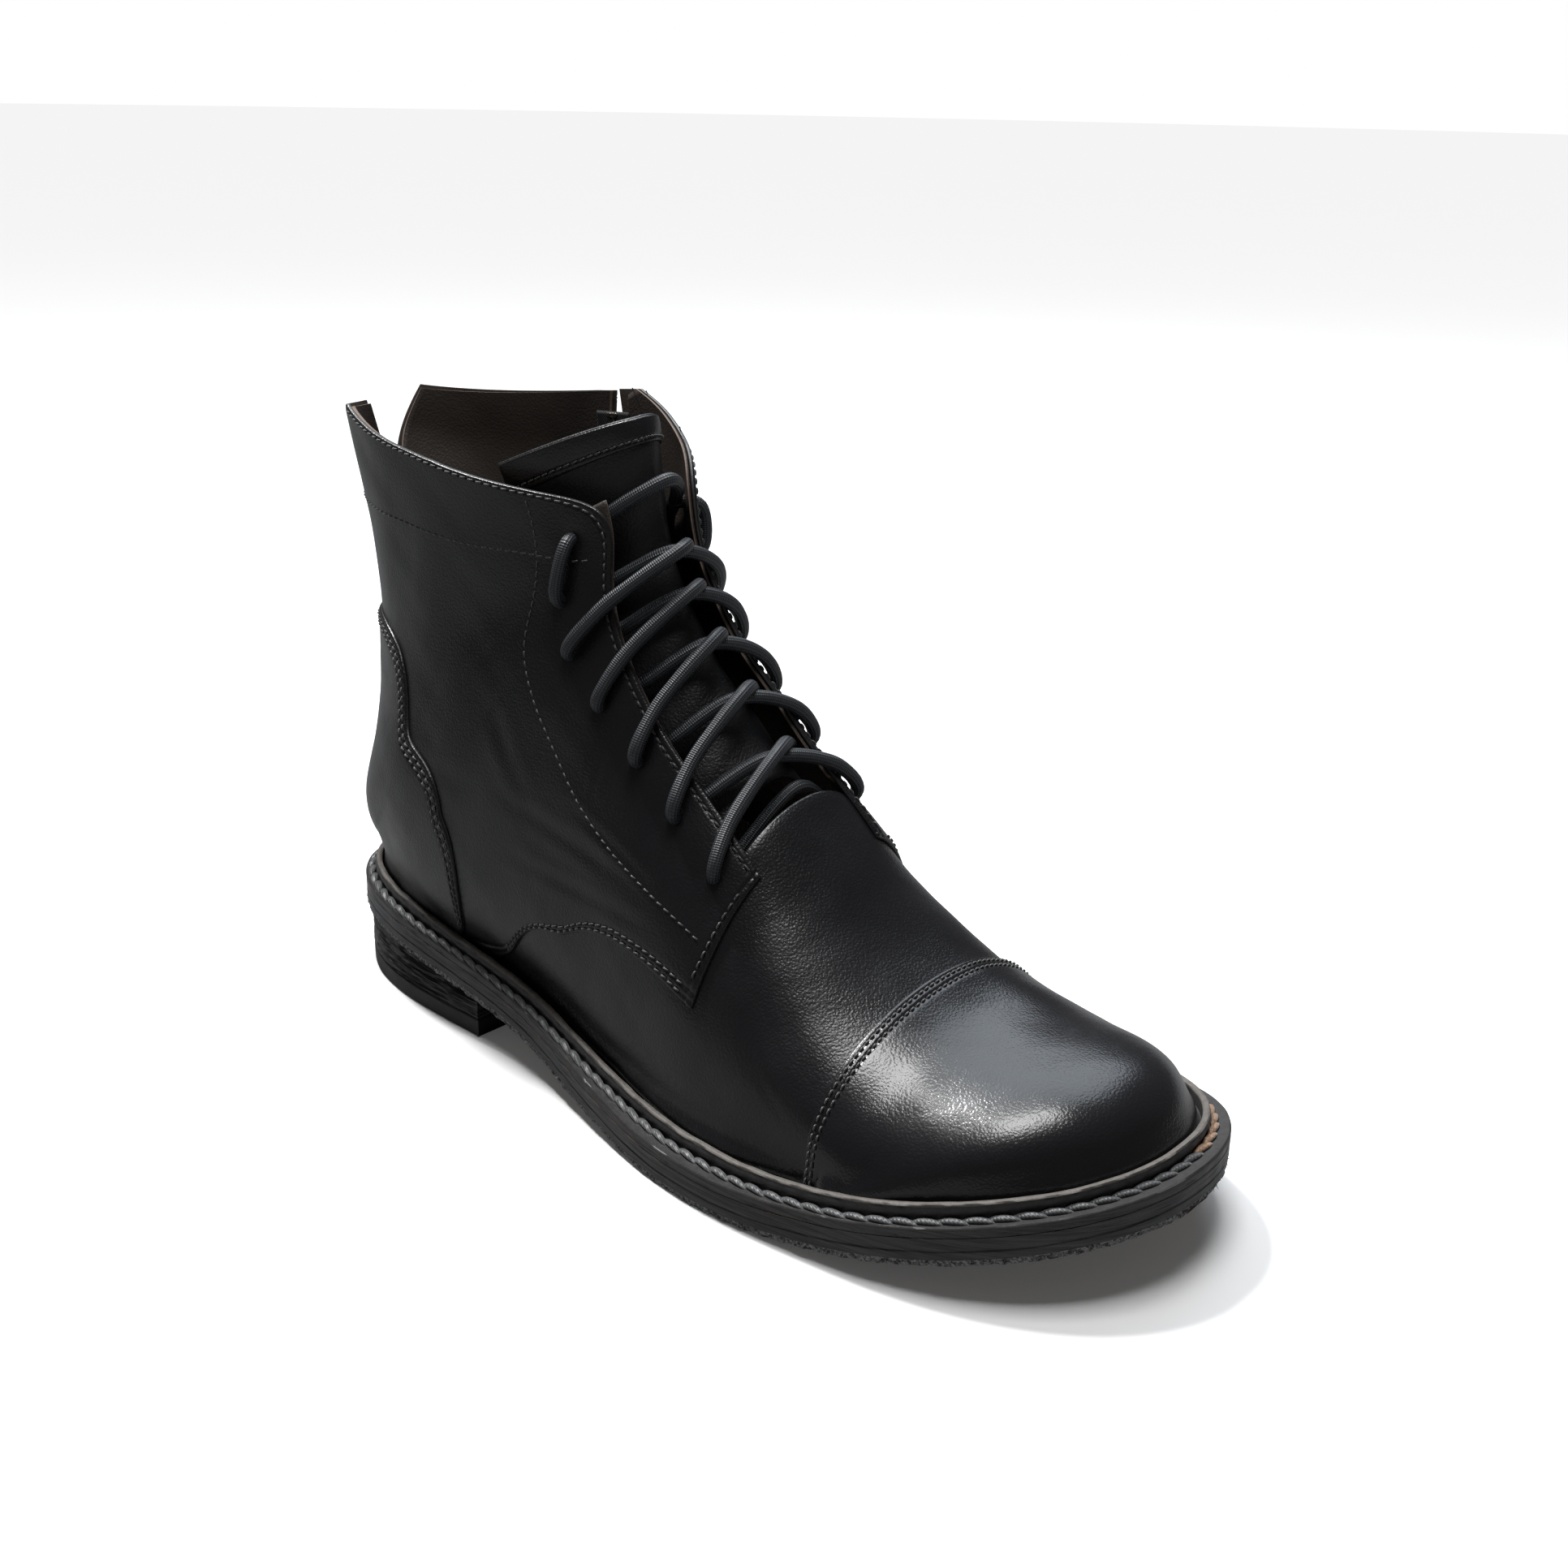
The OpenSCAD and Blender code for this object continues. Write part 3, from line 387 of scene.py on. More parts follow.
# ---------------------------------------------------------------- stitches
def stitch_row(places, height, pitch, thread, slant=0.12, drop=0.3):
    """Rings of points of every stitch along a [station, girth] line."""
    base = raw_at(places[:, 0], places[:, 1])[0]
    length = arc(base)
    count = max(1, int(length[-1] / pitch))
    t = np.array([0.1, 0.24, 0.5, 0.76, 0.9])
    lift = np.array([-drop, 0.3 * thread, 0.5 * thread, 0.3 * thread, -drop])
    spots = (np.arange(count)[:, None] + t) * pitch
    s = np.interp(spots, length, places[:, 0])
    u = np.interp(spots, length, places[:, 1])
    centre = at(s, u, height + lift)
    n = raw_at(s, u)[1]
    way = unit(centre[:, -1:] - centre[:, :1])
    side = unit(np.cross(n, np.broadcast_to(way, n.shape)))
    centre = centre + side * (slant * (t - 0.5) * 2)[:, None]
    radius = thread / 2 * np.array([0.6, 1, 1.05, 1, 0.6])
    angle = np.linspace(0, 2 * np.pi, 7)[:-1]
    return (centre[:, :, None] + radius[:, None, None] * (np.cos(angle)[:, None] * side[:, :, None]
            + np.sin(angle)[:, None] * n[:, :, None]))


def ring_tubes(name, rings, materials, slots=0):
    """One object of many closed tubes, from their rings of points."""
    count, per, sides = rings.shape[:3]
    size = per * sides
    one = grid_faces(per, sides, wrap_cols=True).tolist()
    one += [list(range(sides)), list(range(size - 1, size - sides - 1, -1))]
    faces = [[k * size + i for i in face] for k in range(count) for face in one]
    marks = np.repeat(np.broadcast_to(slots, count), len(one))
    return mesh(name, rings, faces, materials, marks)


def tubes(name, centre, side, up, width, height, materials, slots=0, sides=8):
    """Tubes with elliptic rings round centre, a (tube, ring, 3) array."""
    angle = np.linspace(0, 2 * np.pi, sides + 1)[:-1, None]
    side, up = (np.broadcast_to(v, centre.shape)[:, :, None] for v in (side, up))
    width, height = (np.broadcast_to(v, centre.shape[:2])[..., None, None] / 2 for v in (width, height))
    rings = centre[:, :, None] + width * np.cos(angle) * side + height * np.sin(angle) * up
    return ring_tubes(name, rings, materials, slots)


def square_to(way):
    """Two directions square to a way and to each other."""
    side = unit(np.cross(way, [0.3, 0.5, 0.8]))
    return side, np.cross(way, side)


# ---------------------------------------------------------------- materials
def new_material(name, colour, rough, metallic=0.0, specular=0.5):
    m = bpy.data.materials.new(name)
    m.use_nodes = True
    sockets = shader(m).inputs
    sockets["Base Color"].default_value = (*colour, 1)
    sockets["Roughness"].default_value = rough
    sockets["Metallic"].default_value = metallic
    sockets["Specular IOR Level"].default_value = specular
    m["last_bump"] = ""
    return m


def shader(m):
    return m.node_tree.nodes["Principled BSDF"]


def node(m, kind, **values):
    n = m.node_tree.nodes.new(kind)
    for key, value in values.items():
        if key in n.inputs:
            n.inputs[key].default_value = value
        else:
            setattr(n, key, value)
    return n


def link(m, out, into):
    m.node_tree.links.new(out, into)


def coords(m, stretch=(1, 1, 1)):
    where = node(m, "ShaderNodeTexCoord")
    turn = node(m, "ShaderNodeMapping")
    turn.inputs["Scale"].default_value = stretch
    link(m, where.outputs["Object"], turn.inputs["Vector"])
    return turn.outputs["Vector"]


def noise(m, scale, detail=3.0, rough=0.5, stretch=(1, 1, 1)):
    n = node(m, "ShaderNodeTexNoise", Scale=scale, Detail=detail, Roughness=rough)
    link(m, coords(m, stretch), n.inputs["Vector"])
    return n.outputs["Fac"]


def cells(m, scale):
    """Soft round grains."""
    n = node(m, "ShaderNodeTexVoronoi", Scale=scale, feature="SMOOTH_F1")
    link(m, coords(m), n.inputs["Vector"])
    return ramp(m, n.outputs["Distance"], 0.0, 0.6)


def ramp(m, value, low, high, dark=0.0, bright=1.0):
    n = node(m, "ShaderNodeMapRange")
    for key, v in zip(("From Min", "From Max", "To Min", "To Max"), (low, high, dark, bright)):
        n.inputs[key].default_value = v
    link(m, value, n.inputs["Value"])
    return n.outputs["Result"]


def bump(m, height, depth_mm, strength=1.0):
    """Adds one bump over those already there."""
    n = node(m, "ShaderNodeBump", Strength=strength, Distance=depth_mm * MM)
    link(m, height, n.inputs["Height"])
    if m["last_bump"]:
        link(m, m.node_tree.nodes[m["last_bump"]].outputs["Normal"], n.inputs["Normal"])
    link(m, n.outputs["Normal"], shader(m).inputs["Normal"])
    m["last_bump"] = n.name


def tint(m, value, dark, bright):
    """Colour that runs between two with a value."""
    n = node(m, "ShaderNodeMix", data_type="RGBA")
    n.inputs[6].default_value = (*dark, 1)
    n.inputs[7].default_value = (*bright, 1)
    link(m, value, n.inputs[0])
    link(m, n.outputs[2], shader(m).inputs["Base Color"])


def roughness(m, value, low, high):
    link(m, ramp(m, value, 0.3, 0.7, low, high), shader(m).inputs["Roughness"])


def surface(name, dark, bright, rough, colour_noise, bump_noise, depth, strength, polish=None, metallic=0.0):
    """A material whose colour, height and, with polish, shine vary with noise.

    A noise is (scale, detail) or (scale, detail, roughness); polish is (noise, low, high)."""
    m = new_material(name, dark, rough, metallic)
    tint(m, noise(m, *colour_noise), dark, bright)
    if polish:
        roughness(m, noise(m, *polish[0]), *polish[1:])
    bump(m, noise(m, *bump_noise), depth, strength)
    return m


def leather(name, rough_low, rough_high, grain=1.0, coat=0.0, colour=(0.005, 0.005, 0.006)):
    m = new_material(name, colour, rough_low)
    shader(m).inputs["Coat Weight"].default_value = coat
    shader(m).inputs["Coat Roughness"].default_value = 0.3
    tint(m, noise(m, 35, 4), colour, tuple(1.9 * c for c in colour))
    roughness(m, noise(m, 60, 5, 0.65), rough_low, rough_high)
    bump(m, noise(m, 220, 3), 0.06 * grain, 0.5)
    bump(m, cells(m, 1500), 0.085 * grain, 0.9)
    bump(m, cells(m, 3000), 0.03 * grain, 0.7)
    return m


def cut_edge(name, dark, bright, rough):
    return surface(name, dark, bright, rough, (500, 4, 0.6), (1500, 4), 0.12, 0.7)


BLACK = leather("black_leather", 0.27, 0.36, grain=0.85, coat=0.1)
CAP_LEATHER = leather("cap_leather", 0.2, 0.28, grain=0.6, coat=0.25)
TONGUE_LEATHER = leather("tongue_leather", 0.4, 0.5, grain=1.1)
FLESH = cut_edge("flesh_side", (0.03, 0.022, 0.018), (0.07, 0.05, 0.04), 0.8)
EDGE = cut_edge("leather_edge", (0.02, 0.019, 0.019), (0.06, 0.056, 0.054), 0.45)
RAW_EDGE = cut_edge("raw_lining_edge", (0.10, 0.07, 0.055), (0.26, 0.19, 0.15), 0.8)
LINING = leather("lining_leather", 0.5, 0.62, grain=0.8, colour=(0.022, 0.016, 0.013))
SOCK = leather("sock_leather", 0.55, 0.7, grain=0.6, colour=(0.03, 0.022, 0.018))


def thread_material(name, dark, bright):
    m = surface(name, dark, bright, 0.42, (900, 2), (5000, 2), 0.05, 0.8)
    shader(m).inputs["Sheen Weight"].default_value = 0.3
    return m


THREAD = thread_material("black_thread", (0.014, 0.014, 0.015), (0.06, 0.059, 0.057))
WELT_THREAD = thread_material("welt_thread", (0.022, 0.023, 0.025), (0.13, 0.132, 0.135))


def sole_edge_material(name, dark, bright, line_scale, rough=0.42, depth=0.25):
    """Edge of stacked leather: fine lines that run along the sole."""
    m = new_material(name, dark, rough)
    lines = noise(m, line_scale, 4, 0.6, stretch=(0.03, 0.03, 1))
    tint(m, ramp(m, lines, 0.35, 0.75), dark, bright)
    roughness(m, noise(m, 120, 4), rough - 0.08, rough + 0.14)
    bump(m, lines, depth, 0.8)
    bump(m, noise(m, 900, 4, 0.7), 0.08, 0.6)
    return m


# Both edge colours are set about twice as light as the dark edge itself. This stands in for light bounced and
# mirrored from the white floor: painted bounce light and painted floor reflection over the edge's own dark
# colour.
MIDSOLE_EDGE = sole_edge_material("midsole_edge", (0.022, 0.022, 0.025), (0.095, 0.096, 0.10), 1500, 0.34)
HEEL_EDGE = sole_edge_material("heel_stack", (0.018, 0.017, 0.017), (0.10, 0.096, 0.09), 1300, 0.45, 0.6)
WELT_TOP = cut_edge("welt_top", (0.013, 0.013, 0.014), (0.05, 0.048, 0.047), 0.45)
LIP_EDGE = cut_edge("lip_edge", (0.045, 0.04, 0.036), (0.17, 0.155, 0.14), 0.6)


def raw_sole_material():
    m = new_material("raw_sole", (0.05, 0.05, 0.052), 0.85)
    # Colours lifted well above the raw edge's own grey so that the lower sole edge reads lit from the floor
    # below: painted bounce light over a real speckle.
    tint(m, ramp(m, noise(m, 1100, 5, 0.75), 0.42, 0.62), (0.04, 0.04, 0.042), (0.5, 0.5, 0.51))
    bump(m, noise(m, 700, 5, 0.75), 0.8, 0.9)
    return m


RAW_SOLE = raw_sole_material()


SOLE_LEATHER = surface("sole_leather", (0.10, 0.068, 0.046), (0.25, 0.175, 0.12), 0.5,
                       (45, 6, 0.65), (800, 5, 0.7), 0.15, 0.6)
RUBBER = surface("top_piece_rubber", (0.009, 0.009, 0.010), (0.03, 0.03, 0.031), 0.5,
                 (180, 5, 0.6), (1300, 4), 0.08, 0.6, polish=((90, 4), 0.4, 0.6))


def lace_material():
    """Waxed round cord: a braid of slanting strands along the tube's own coordinates."""
    m = new_material("waxed_lace", (0.012, 0.013, 0.015), 0.42)
    where = node(m, "ShaderNodeTexCoord")
    split = node(m, "ShaderNodeSeparateXYZ")
    link(m, where.outputs["UV"], split.inputs[0])
    waves = []
    for sign in (1, -1):
        turn = node(m, "ShaderNodeMath", operation="MULTIPLY_ADD")
        link(m, split.outputs["Y"], turn.inputs[0])
        turn.inputs[1].default_value = sign * 2 * math.pi * 7
        along = node(m, "ShaderNodeMath", operation="MULTIPLY")
        link(m, split.outputs["X"], along.inputs[0])
        along.inputs[1].default_value = 2 * math.pi / 1.25
        link(m, along.outputs[0], turn.inputs[2])
        wave = node(m, "ShaderNodeMath", operation="SINE")
        link(m, turn.outputs[0], wave.inputs[0])
        waves.append(wave)
    top = node(m, "ShaderNodeMath", operation="MULTIPLY")
    link(m, waves[0].outputs[0], top.inputs[0])
    link(m, waves[1].outputs[0], top.inputs[1])
    strands = ramp(m, top.outputs[0], -1.0, 1.0)
    # The colour follows the braid's height: the lighter crowns are painted highlight and the darker hollows
    # are painted shade on the black cord.
    tint(m, strands, (0.006, 0.007, 0.008), (0.05, 0.055, 0.064))
    bump(m, strands, 0.17, 1.0)
    bump(m, noise(m, 3500, 3), 0.05, 0.7)
    return m


LACE = lace_material()


def metal_material(name, colour, rough):
    worn = tuple(0.7 * c for c in colour)
    return surface(name, worn, colour, rough, (300, 4), (2500, 3), 0.02, 0.5,
                   polish=((700, 4), rough - 0.08, rough + 0.12), metallic=1.0)


ZIP_METAL = metal_material("zip_metal", (0.20, 0.18, 0.155), 0.32)
STEEL = metal_material("steel", (0.42, 0.43, 0.45), 0.35)
BRASS = metal_material("brass", (0.50, 0.37, 0.17), 0.36)


def tape_material():
    m = new_material("zip_tape", (0.012, 0.012, 0.012), 0.8)
    weave = node(m, "ShaderNodeTexWave", Scale=650, Distortion=0.4)
    weave.bands_direction = "DIAGONAL"
    link(m, coords(m), weave.inputs["Vector"])
    tint(m, weave.outputs["Fac"], (0.008, 0.008, 0.008), (0.03, 0.03, 0.03))
    bump(m, weave.outputs["Fac"], 0.12, 0.8)
    return m


TAPE = tape_material()


def rough_material(name, dark, bright, scale, depth):
    return surface(name, dark, bright, 0.85, (scale, 5, 0.7), (scale * 3, 4), depth, 0.8)


CORK = rough_material("cork", (0.22, 0.13, 0.07), (0.52, 0.36, 0.22), 350, 0.3)
BOARD = rough_material("insole_board", (0.32, 0.22, 0.14), (0.46, 0.34, 0.23), 200, 0.1)
STIFF = rough_material("stiffener", (0.42, 0.38, 0.31), (0.6, 0.56, 0.48), 400, 0.12)

# ---------------------------------------------------------------- sole outlines
HALF = 260
MID_X, HALF_X = (HEEL_X + TOE_X) / 2, (TOE_X - HEEL_X) / 2
LIP_TABLE = [5.4, 5.6, 6.6, 7.2, 6.4, 5.2, 4.2, 3.4, 3.6, 5.6, 5.8, 4.4, 3]


def feather_ring():
    x = MID_X - HALF_X * np.cos(np.pi * np.arange(HALF + 1) / HALF)
    out, inner = feather_y(x)
    ring_x = np.concatenate([x, x[HALF - 1:0:-1]])
    return np.stack([ring_x, np.concatenate([out, inner[HALF - 1:0:-1]])], -1)


RING = feather_ring()


def ring_normal():
    d = np.roll(RING, -1, 0) - np.roll(RING, 1, 0)
    return unit(np.stack([d[:, 1], -d[:, 0]], -1))


RING_N = ring_normal()


def outline(grow):
    """The feather line moved outwards by a distance."""
    return RING + grow * RING_N


def wobble(points, length, seed):
    """Smooth noise, about -1 to 1, for points in mm."""
    pick = np.random.default_rng(seed)
    out = np.zeros(points.shape[:-1])
    for k in range(7):
        way = pick.normal(size=points.shape[-1])
        way /= np.linalg.norm(way)
        out += np.sin(points @ way * 2 * np.pi / (length * pick.uniform(0.7, 1.5)) + pick.uniform(0, 6.3))
    return out / 3


def layer(name, grow, low, high, levels, materials, pick_slot, side, x_max=None, z_of=None, across=10):
    """A slab of the sole: its side wall has a ring of points at every level from 0 to 1.

    side(x, y, level) is how far the wall stands out there; pick_slot(level) is the wall's material.
    x_max cuts the slab off square, as at the heel breast. The faces below and above have slots 1 and 2."""
    ring = outline(grow)
    z_of = z_of or (lambda x, share: sole_z(x) + low + share * (high - low))
    outer = ring[:HALF + 1]
    inner = np.concatenate([ring[:1], ring[:HALF:-1], ring[HALF:HALF + 1]])
    if x_max is not None:
        keep = (outer[:, 0] < x_max) & (inner[:, 0] < x_max)
        outer, inner = outer[keep], inner[keep]
        outer = np.concatenate([outer, [[x_max, outer[-1, 1]]]])
        inner = np.concatenate([inner, [[x_max, inner[-1, 1]]]])
    share = np.linspace(0, 1, across + 1)[1:-1, None]
    if x_max is None:
        loop = np.concatenate([outer, inner[-2:0:-1]])
    else:
        loop = np.concatenate([outer, outer[-1] + share * (inner[-1] - outer[-1]), inner[:0:-1]])
    way = np.roll(loop, -1, 0) - np.roll(loop, 1, 0)
    n = unit(np.stack([way[:, 1], -way[:, 0]], -1))
    walls = []
    for level in levels:
        p = loop + n * side(loop[:, 0], loop[:, 1], level)[:, None]
        walls.append(np.column_stack([p, z_of(loop[:, 0], level)]))
    walls = np.array(walls)
    count = len(loop)
    faces = [f[::-1] for f in grid_faces(len(levels), count, wrap_cols=True).tolist()]
    slots = list(np.repeat([pick_slot((a + b) / 2) for a, b in zip(levels[:-1], levels[1:])], count))
    points = [walls.reshape(-1, 3)]
    start = len(levels) * count
    rows = len(outer)
    out_index = np.arange(rows)
    in_index = np.concatenate([[0], count - np.arange(1, rows)])
    if x_max is None:
        in_index[-1] = rows - 1
    for level, ring_no, slot in ((levels[0], 0, 1), (levels[-1], len(levels) - 1, 2)):
        base = ring_no * count
        out_wall, in_wall = walls[ring_no][out_index], walls[ring_no][in_index]
        inside = out_wall[:, None] + share * (in_wall - out_wall)[:, None]
        inside[..., 2] = z_of(inside[..., 0], level)
        grid = np.empty((rows, across + 1), int)
        grid[:, 0], grid[:, -1] = base + out_index, base + in_index
        grid[:, 1:-1] = start + np.arange(rows * (across - 1)).reshape(rows, across - 1)
        if x_max is not None:
            grid[-1, 1:-1] = base + rows + np.arange(across - 1)
        points.append(inside.reshape(-1, 3))
        start += rows * (across - 1)
        quads = np.stack([grid[:-1, :-1], grid[:-1, 1:], grid[1:, 1:], grid[1:, :-1]], -1).reshape(-1, 4)
        faces += (quads[:, ::-1] if slot == 1 else quads).tolist()
        slots += [slot] * len(quads)
    obj = mesh(name, np.concatenate(points), faces, materials, slots)
    tidy_mesh(obj)
    return obj


def tidy_mesh(obj, sharp=math.radians(50)):
    """Merges doubled points, drops empty faces and keeps the true corners sharp."""
    work = bmesh.new()
    work.from_mesh(obj.data)
    bmesh.ops.remove_doubles(work, verts=work.verts, dist=0.00001)
    bmesh.ops.dissolve_degenerate(work, dist=0.000005, edges=work.edges)
    loose = [v for v in work.verts if not v.link_faces]
    bmesh.ops.delete(work, geom=loose, context="VERTS")
    bmesh.ops.recalc_face_normals(work, faces=work.faces)
    for e in work.edges:
        e.smooth = len(e.link_faces) == 2 and e.calc_face_angle(0) < sharp
    work.to_mesh(obj.data)
    work.free()


# ---------------------------------------------------------------- sole
WELT_W, LIP_T, LIP_H = 11.0, 2.0, 4.6
WELT_Z = OUTSOLE_T + MIDSOLE_T
WORN_X, WORN_Y = 128, 14
RAW_SHARE = 0.5
HEEL_LEN, HEEL_INSET = 84.0, 1.5
BREAST_X = HEEL_X - WELT_W + HEEL_LEN


def levels(count):
    return np.linspace(0, 1, count + 1)


def outsole_side(x, y, level):
    """Raw and fuzzy below, smooth above."""
    p = np.stack([x, y, np.full_like(x, 9 * level)], -1)
    raw = level < RAW_SHARE
    fuzz = (0.28 if raw else 0.06) * wobble(p, 2.6, 11) + (0.15 if raw else 0.05) * wobble(p, 9, 12)
    return fuzz - 0.9 * max(0, 0.3 - level) - (0.25 if raw else 0.0)


def midsole_side(x, y, level):
    """Smooth, with two fine grooves."""
    p = np.stack([x, y, np.full_like(x, 40 * level)], -1)
    groove = 0.22 * math.exp(-((level - 0.08) / 0.05) ** 2) + 0.10 * math.exp(-((level - 0.62) / 0.05) ** 2)
    return 0.06 * wobble(p, 16, 21) - groove


outsole = layer("outsole_leather", WELT_W, 0, OUTSOLE_T, levels(12), [RAW_SOLE, SOLE_LEATHER, MIDSOLE_EDGE],
                lambda level: 0 if level < RAW_SHARE else 2, outsole_side)
place(outsole, "boot", "sole_leather", "outsole")
midsole = layer("midsole_leather", WELT_W, OUTSOLE_T, WELT_Z, levels(12),
                [MIDSOLE_EDGE, SOLE_LEATHER, SOLE_LEATHER], lambda level: 0, midsole_side)
place(midsole, "boot", "sole_leather", "midsole")


def heel_layer(name, low, high, count, material, side, node_name, slot, z_of=None):
    z_of = z_of or (lambda x, share: np.zeros_like(x) + low + share * (high - low))
    obj = layer(name, WELT_W - HEEL_INSET, low, high, levels(count), [material] * 3, lambda level: 0, side,
                x_max=BREAST_X, z_of=z_of)
    place(obj, "boot", slot, node_name)


def rubber_side(x, y, level):
    """Nearly smooth, with rounded rims."""
    p = np.stack([x, y, np.full_like(x, 20 * level)], -1)
    rim = 0.5 * max(0, level - 0.93) / 0.07 + 0.5 * max(0, 0.08 - level) / 0.08
    return 0.05 * wobble(p, 12, 31) - rim


def lift_side(seed, low, high):
    """Wall of a heel lift: wavy lines along it, a rough grain and a gap to its neighbours."""
    def side(x, y, level):
        z = low + level * (high - low)
        wavy, grain = (wobble(np.stack([x, y, np.full_like(x, z * steep)], -1), length, seed + k)
                       for k, (steep, length) in enumerate(((60, 70 / 3), (9, 5))))
        gap = 0.35 * math.exp(-(min(level, 1 - level) / 0.1) ** 2)
        return 0.32 * wavy + 0.14 * grain - gap - 0.15
    return side


TOP_PIECE_Z, LIFT_1_Z, LIFT_2_Z, WEDGE_Z, WEDGE_TOP = 0, 6, 9, 12, 20
heel_layer("heel_top_rubber", TOP_PIECE_Z, LIFT_1_Z, 14, RUBBER, rubber_side, "heel_top_piece", "rubber")
for name, node_name, low, high, seed in (("heel_lift_1", "heel_lift_lower", LIFT_1_Z, LIFT_2_Z, 41),
                                         ("heel_lift_2", "heel_lift_upper", LIFT_2_Z, WEDGE_Z, 43)):
    heel_layer(name, low, high, 10, HEEL_EDGE, lift_side(seed, low, high), node_name, "heel_leather")
heel_layer("heel_wedge_leather", WEDGE_Z, WEDGE_TOP, 16, HEEL_EDGE, lift_side(47, WEDGE_Z, WEDGE_TOP),
           "heel_wedge", "heel_leather", z_of=lambda x, share: WEDGE_Z + share * (sole_z(x) - WEDGE_Z))


# ---------------------------------------------------------------- welt
RING_ARC = arc(outline(9))
RING_LENGTH = RING_ARC[-1] + np.linalg.norm(outline(9)[0] - outline(9)[-1])
WELT_PITCH = RING_LENGTH / round(RING_LENGTH / 6.2)


LIP_OFF = spline(LIP_TABLE, (len(LIP_TABLE) - 1) * (RING[:, 0] - HEEL_X) / (TOE_X - HEEL_X))[:, 0]
MARK = np.abs(np.sin(np.pi * RING_ARC / WELT_PITCH)) ** 0.7


def welt_profile():
    """Closed cross-section: [from_lip, offset, height, mark, slot], from_lip 0 for the feather line."""
    w, t, h = WELT_W, LIP_T, LIP_H
    slab = [(-4, 0, 1), (w - 0.25, 0, 1), (w, 0.3, 0), (w - 0.1, 1.1, 0), (w - 0.02, 1.3, 0), (w, 2.2, 0),
            (w - 0.12, 2.7, 3), (w - 0.5, 3.02, 3), (w - 0.8, 2.94, 1)]
    lip = [(t + 1.2, -0.12, 0, 1), (t + 0.25, -0.05, 0, 1), (t, 0.35, 0, 1), (t - 0.02, 1.1, -0.15, 1),
           (t, 1.8, 0.2, 1), (t + 0.05, 2.5, 0.42, 1), (t, 3.2, 0.2, 1), (t - 0.02, 3.8, -0.1, 1),
           (t, h - 0.5, 0, 2), (t - 0.3, h - 0.08, 0, 2), (t / 2, h, 0, 2), (0.25, h - 0.1, 0, 2),
           (0, h - 0.5, 0, 2), (0, 1, 0, 1)]
    return ([(0, far, z, 0, slot) for far, z, slot in slab]
            + [(1, far, WELT_T + z, mark, slot) for far, z, mark, slot in lip]
            + [(0, far, WELT_T, 0, 1) for far in (0, -4)])


def welt_mesh():
    profile = welt_profile()
    count = len(RING)
    walls = []
    uneven = 0.10 * wobble(np.column_stack([RING, np.full(count, 60.0)]), 15, 52)
    for k, (from_lip, offset, height, mark, _) in enumerate(profile):
        rough = 0.06 * wobble(np.column_stack([RING, np.full(count, 25.0 * k)]), 7, 51)
        far = offset + (LIP_OFF if from_lip else 0) + mark * MARK + rough
        if not from_lip and offset > 8:
            far = np.maximum(far, 0)
        p = RING + RING_N * far[:, None]
        tall = uneven if height > WELT_T + 2 else 0
        walls.append(np.column_stack([p, sole_z(p[:, 0]) + WELT_Z + height + tall]))
    walls.append(walls[0])
    faces = grid_faces(len(walls), count, wrap_cols=True, flip=True)
    slots = np.repeat([spot[-1] for spot in profile[1:] + profile[:1]], count)
    obj = mesh("storm_welt", walls, faces, [MIDSOLE_EDGE, WELT_TOP, LIP_EDGE, EDGE], slots)
    tidy_mesh(obj)
    return obj


place(welt_mesh(), "boot", "welt_leather", "welt")


def welt_stitches():
    """Thick slanting stitches of the sole seam, each lying half over the next, worn bare at the inner toe."""
    far = np.minimum(LIP_OFF + LIP_T + 1.35, WELT_W - 1.1)
    line = RING + RING_N * far[:, None]
    closed = np.concatenate([line, line[:1]])
    length = arc(closed)
    count = int(round(length[-1] / WELT_PITCH))
    pitch = length[-1] / count
    t = np.array([-0.24, -0.12, 0.1, 0.35, 0.6, 0.85, 1.05, 1.16])
    lift = np.array([-0.5, 0.05, 0.42, 0.55, 0.5, 0.3, -0.05, -0.5])
    width = np.array([0.9, 1.5, 2.0, 2.2, 2.15, 1.8, 1.3, 0.8])
    spots = (np.arange(count)[:, None] + t) * pitch
    wrapped = np.mod(spots, length[-1])
    p = np.stack([np.interp(wrapped, length, closed[:, c]) for c in (0, 1)], -1)
    normals = np.concatenate([RING_N, RING_N[:1]])
    n = unit(np.stack([np.interp(wrapped, length, normals[:, c]) for c in (0, 1)], -1))
    jitter = 1 + 0.12 * rng.normal(size=(count, 1))
    p = p + n * (0.55 * (t - 0.45) * 2 * jitter)[..., None]
    z = sole_z(p[..., 0]) + SOLE_T + lift
    centre = np.concatenate([p, z[..., None]], -1)
    side = np.concatenate([n, np.zeros(n.shape[:2] + (1,))], -1)
    middle = centre[:, 3]
    worn = ((middle[:, 0] > WORN_X) & (middle[:, 1] > WORN_Y)).astype(int)
    obj = tubes("welt_stitches", centre, side, [0, 0, 1.0], width, 0.72 * width,
                [WELT_THREAD, WORN_THREAD], worn)
    return place(obj, "boot", "lace")


def cord_twist(m, scale, depth):
    """Fine slanting lines of a twisted thread."""
    wave = node(m, "ShaderNodeTexWave", Scale=scale, Distortion=2.5, Detail=2.0)
    wave.bands_direction = "DIAGONAL"
    link(m, coords(m), wave.inputs["Vector"])
    bump(m, wave.outputs["Fac"], depth, 0.7)


WORN_THREAD = thread_material("worn_thread", (0.16, 0.085, 0.045), (0.42, 0.26, 0.16))
for material in (WELT_THREAD, WORN_THREAD):
    cord_twist(material, 420, 0.12)
welt_stitches()


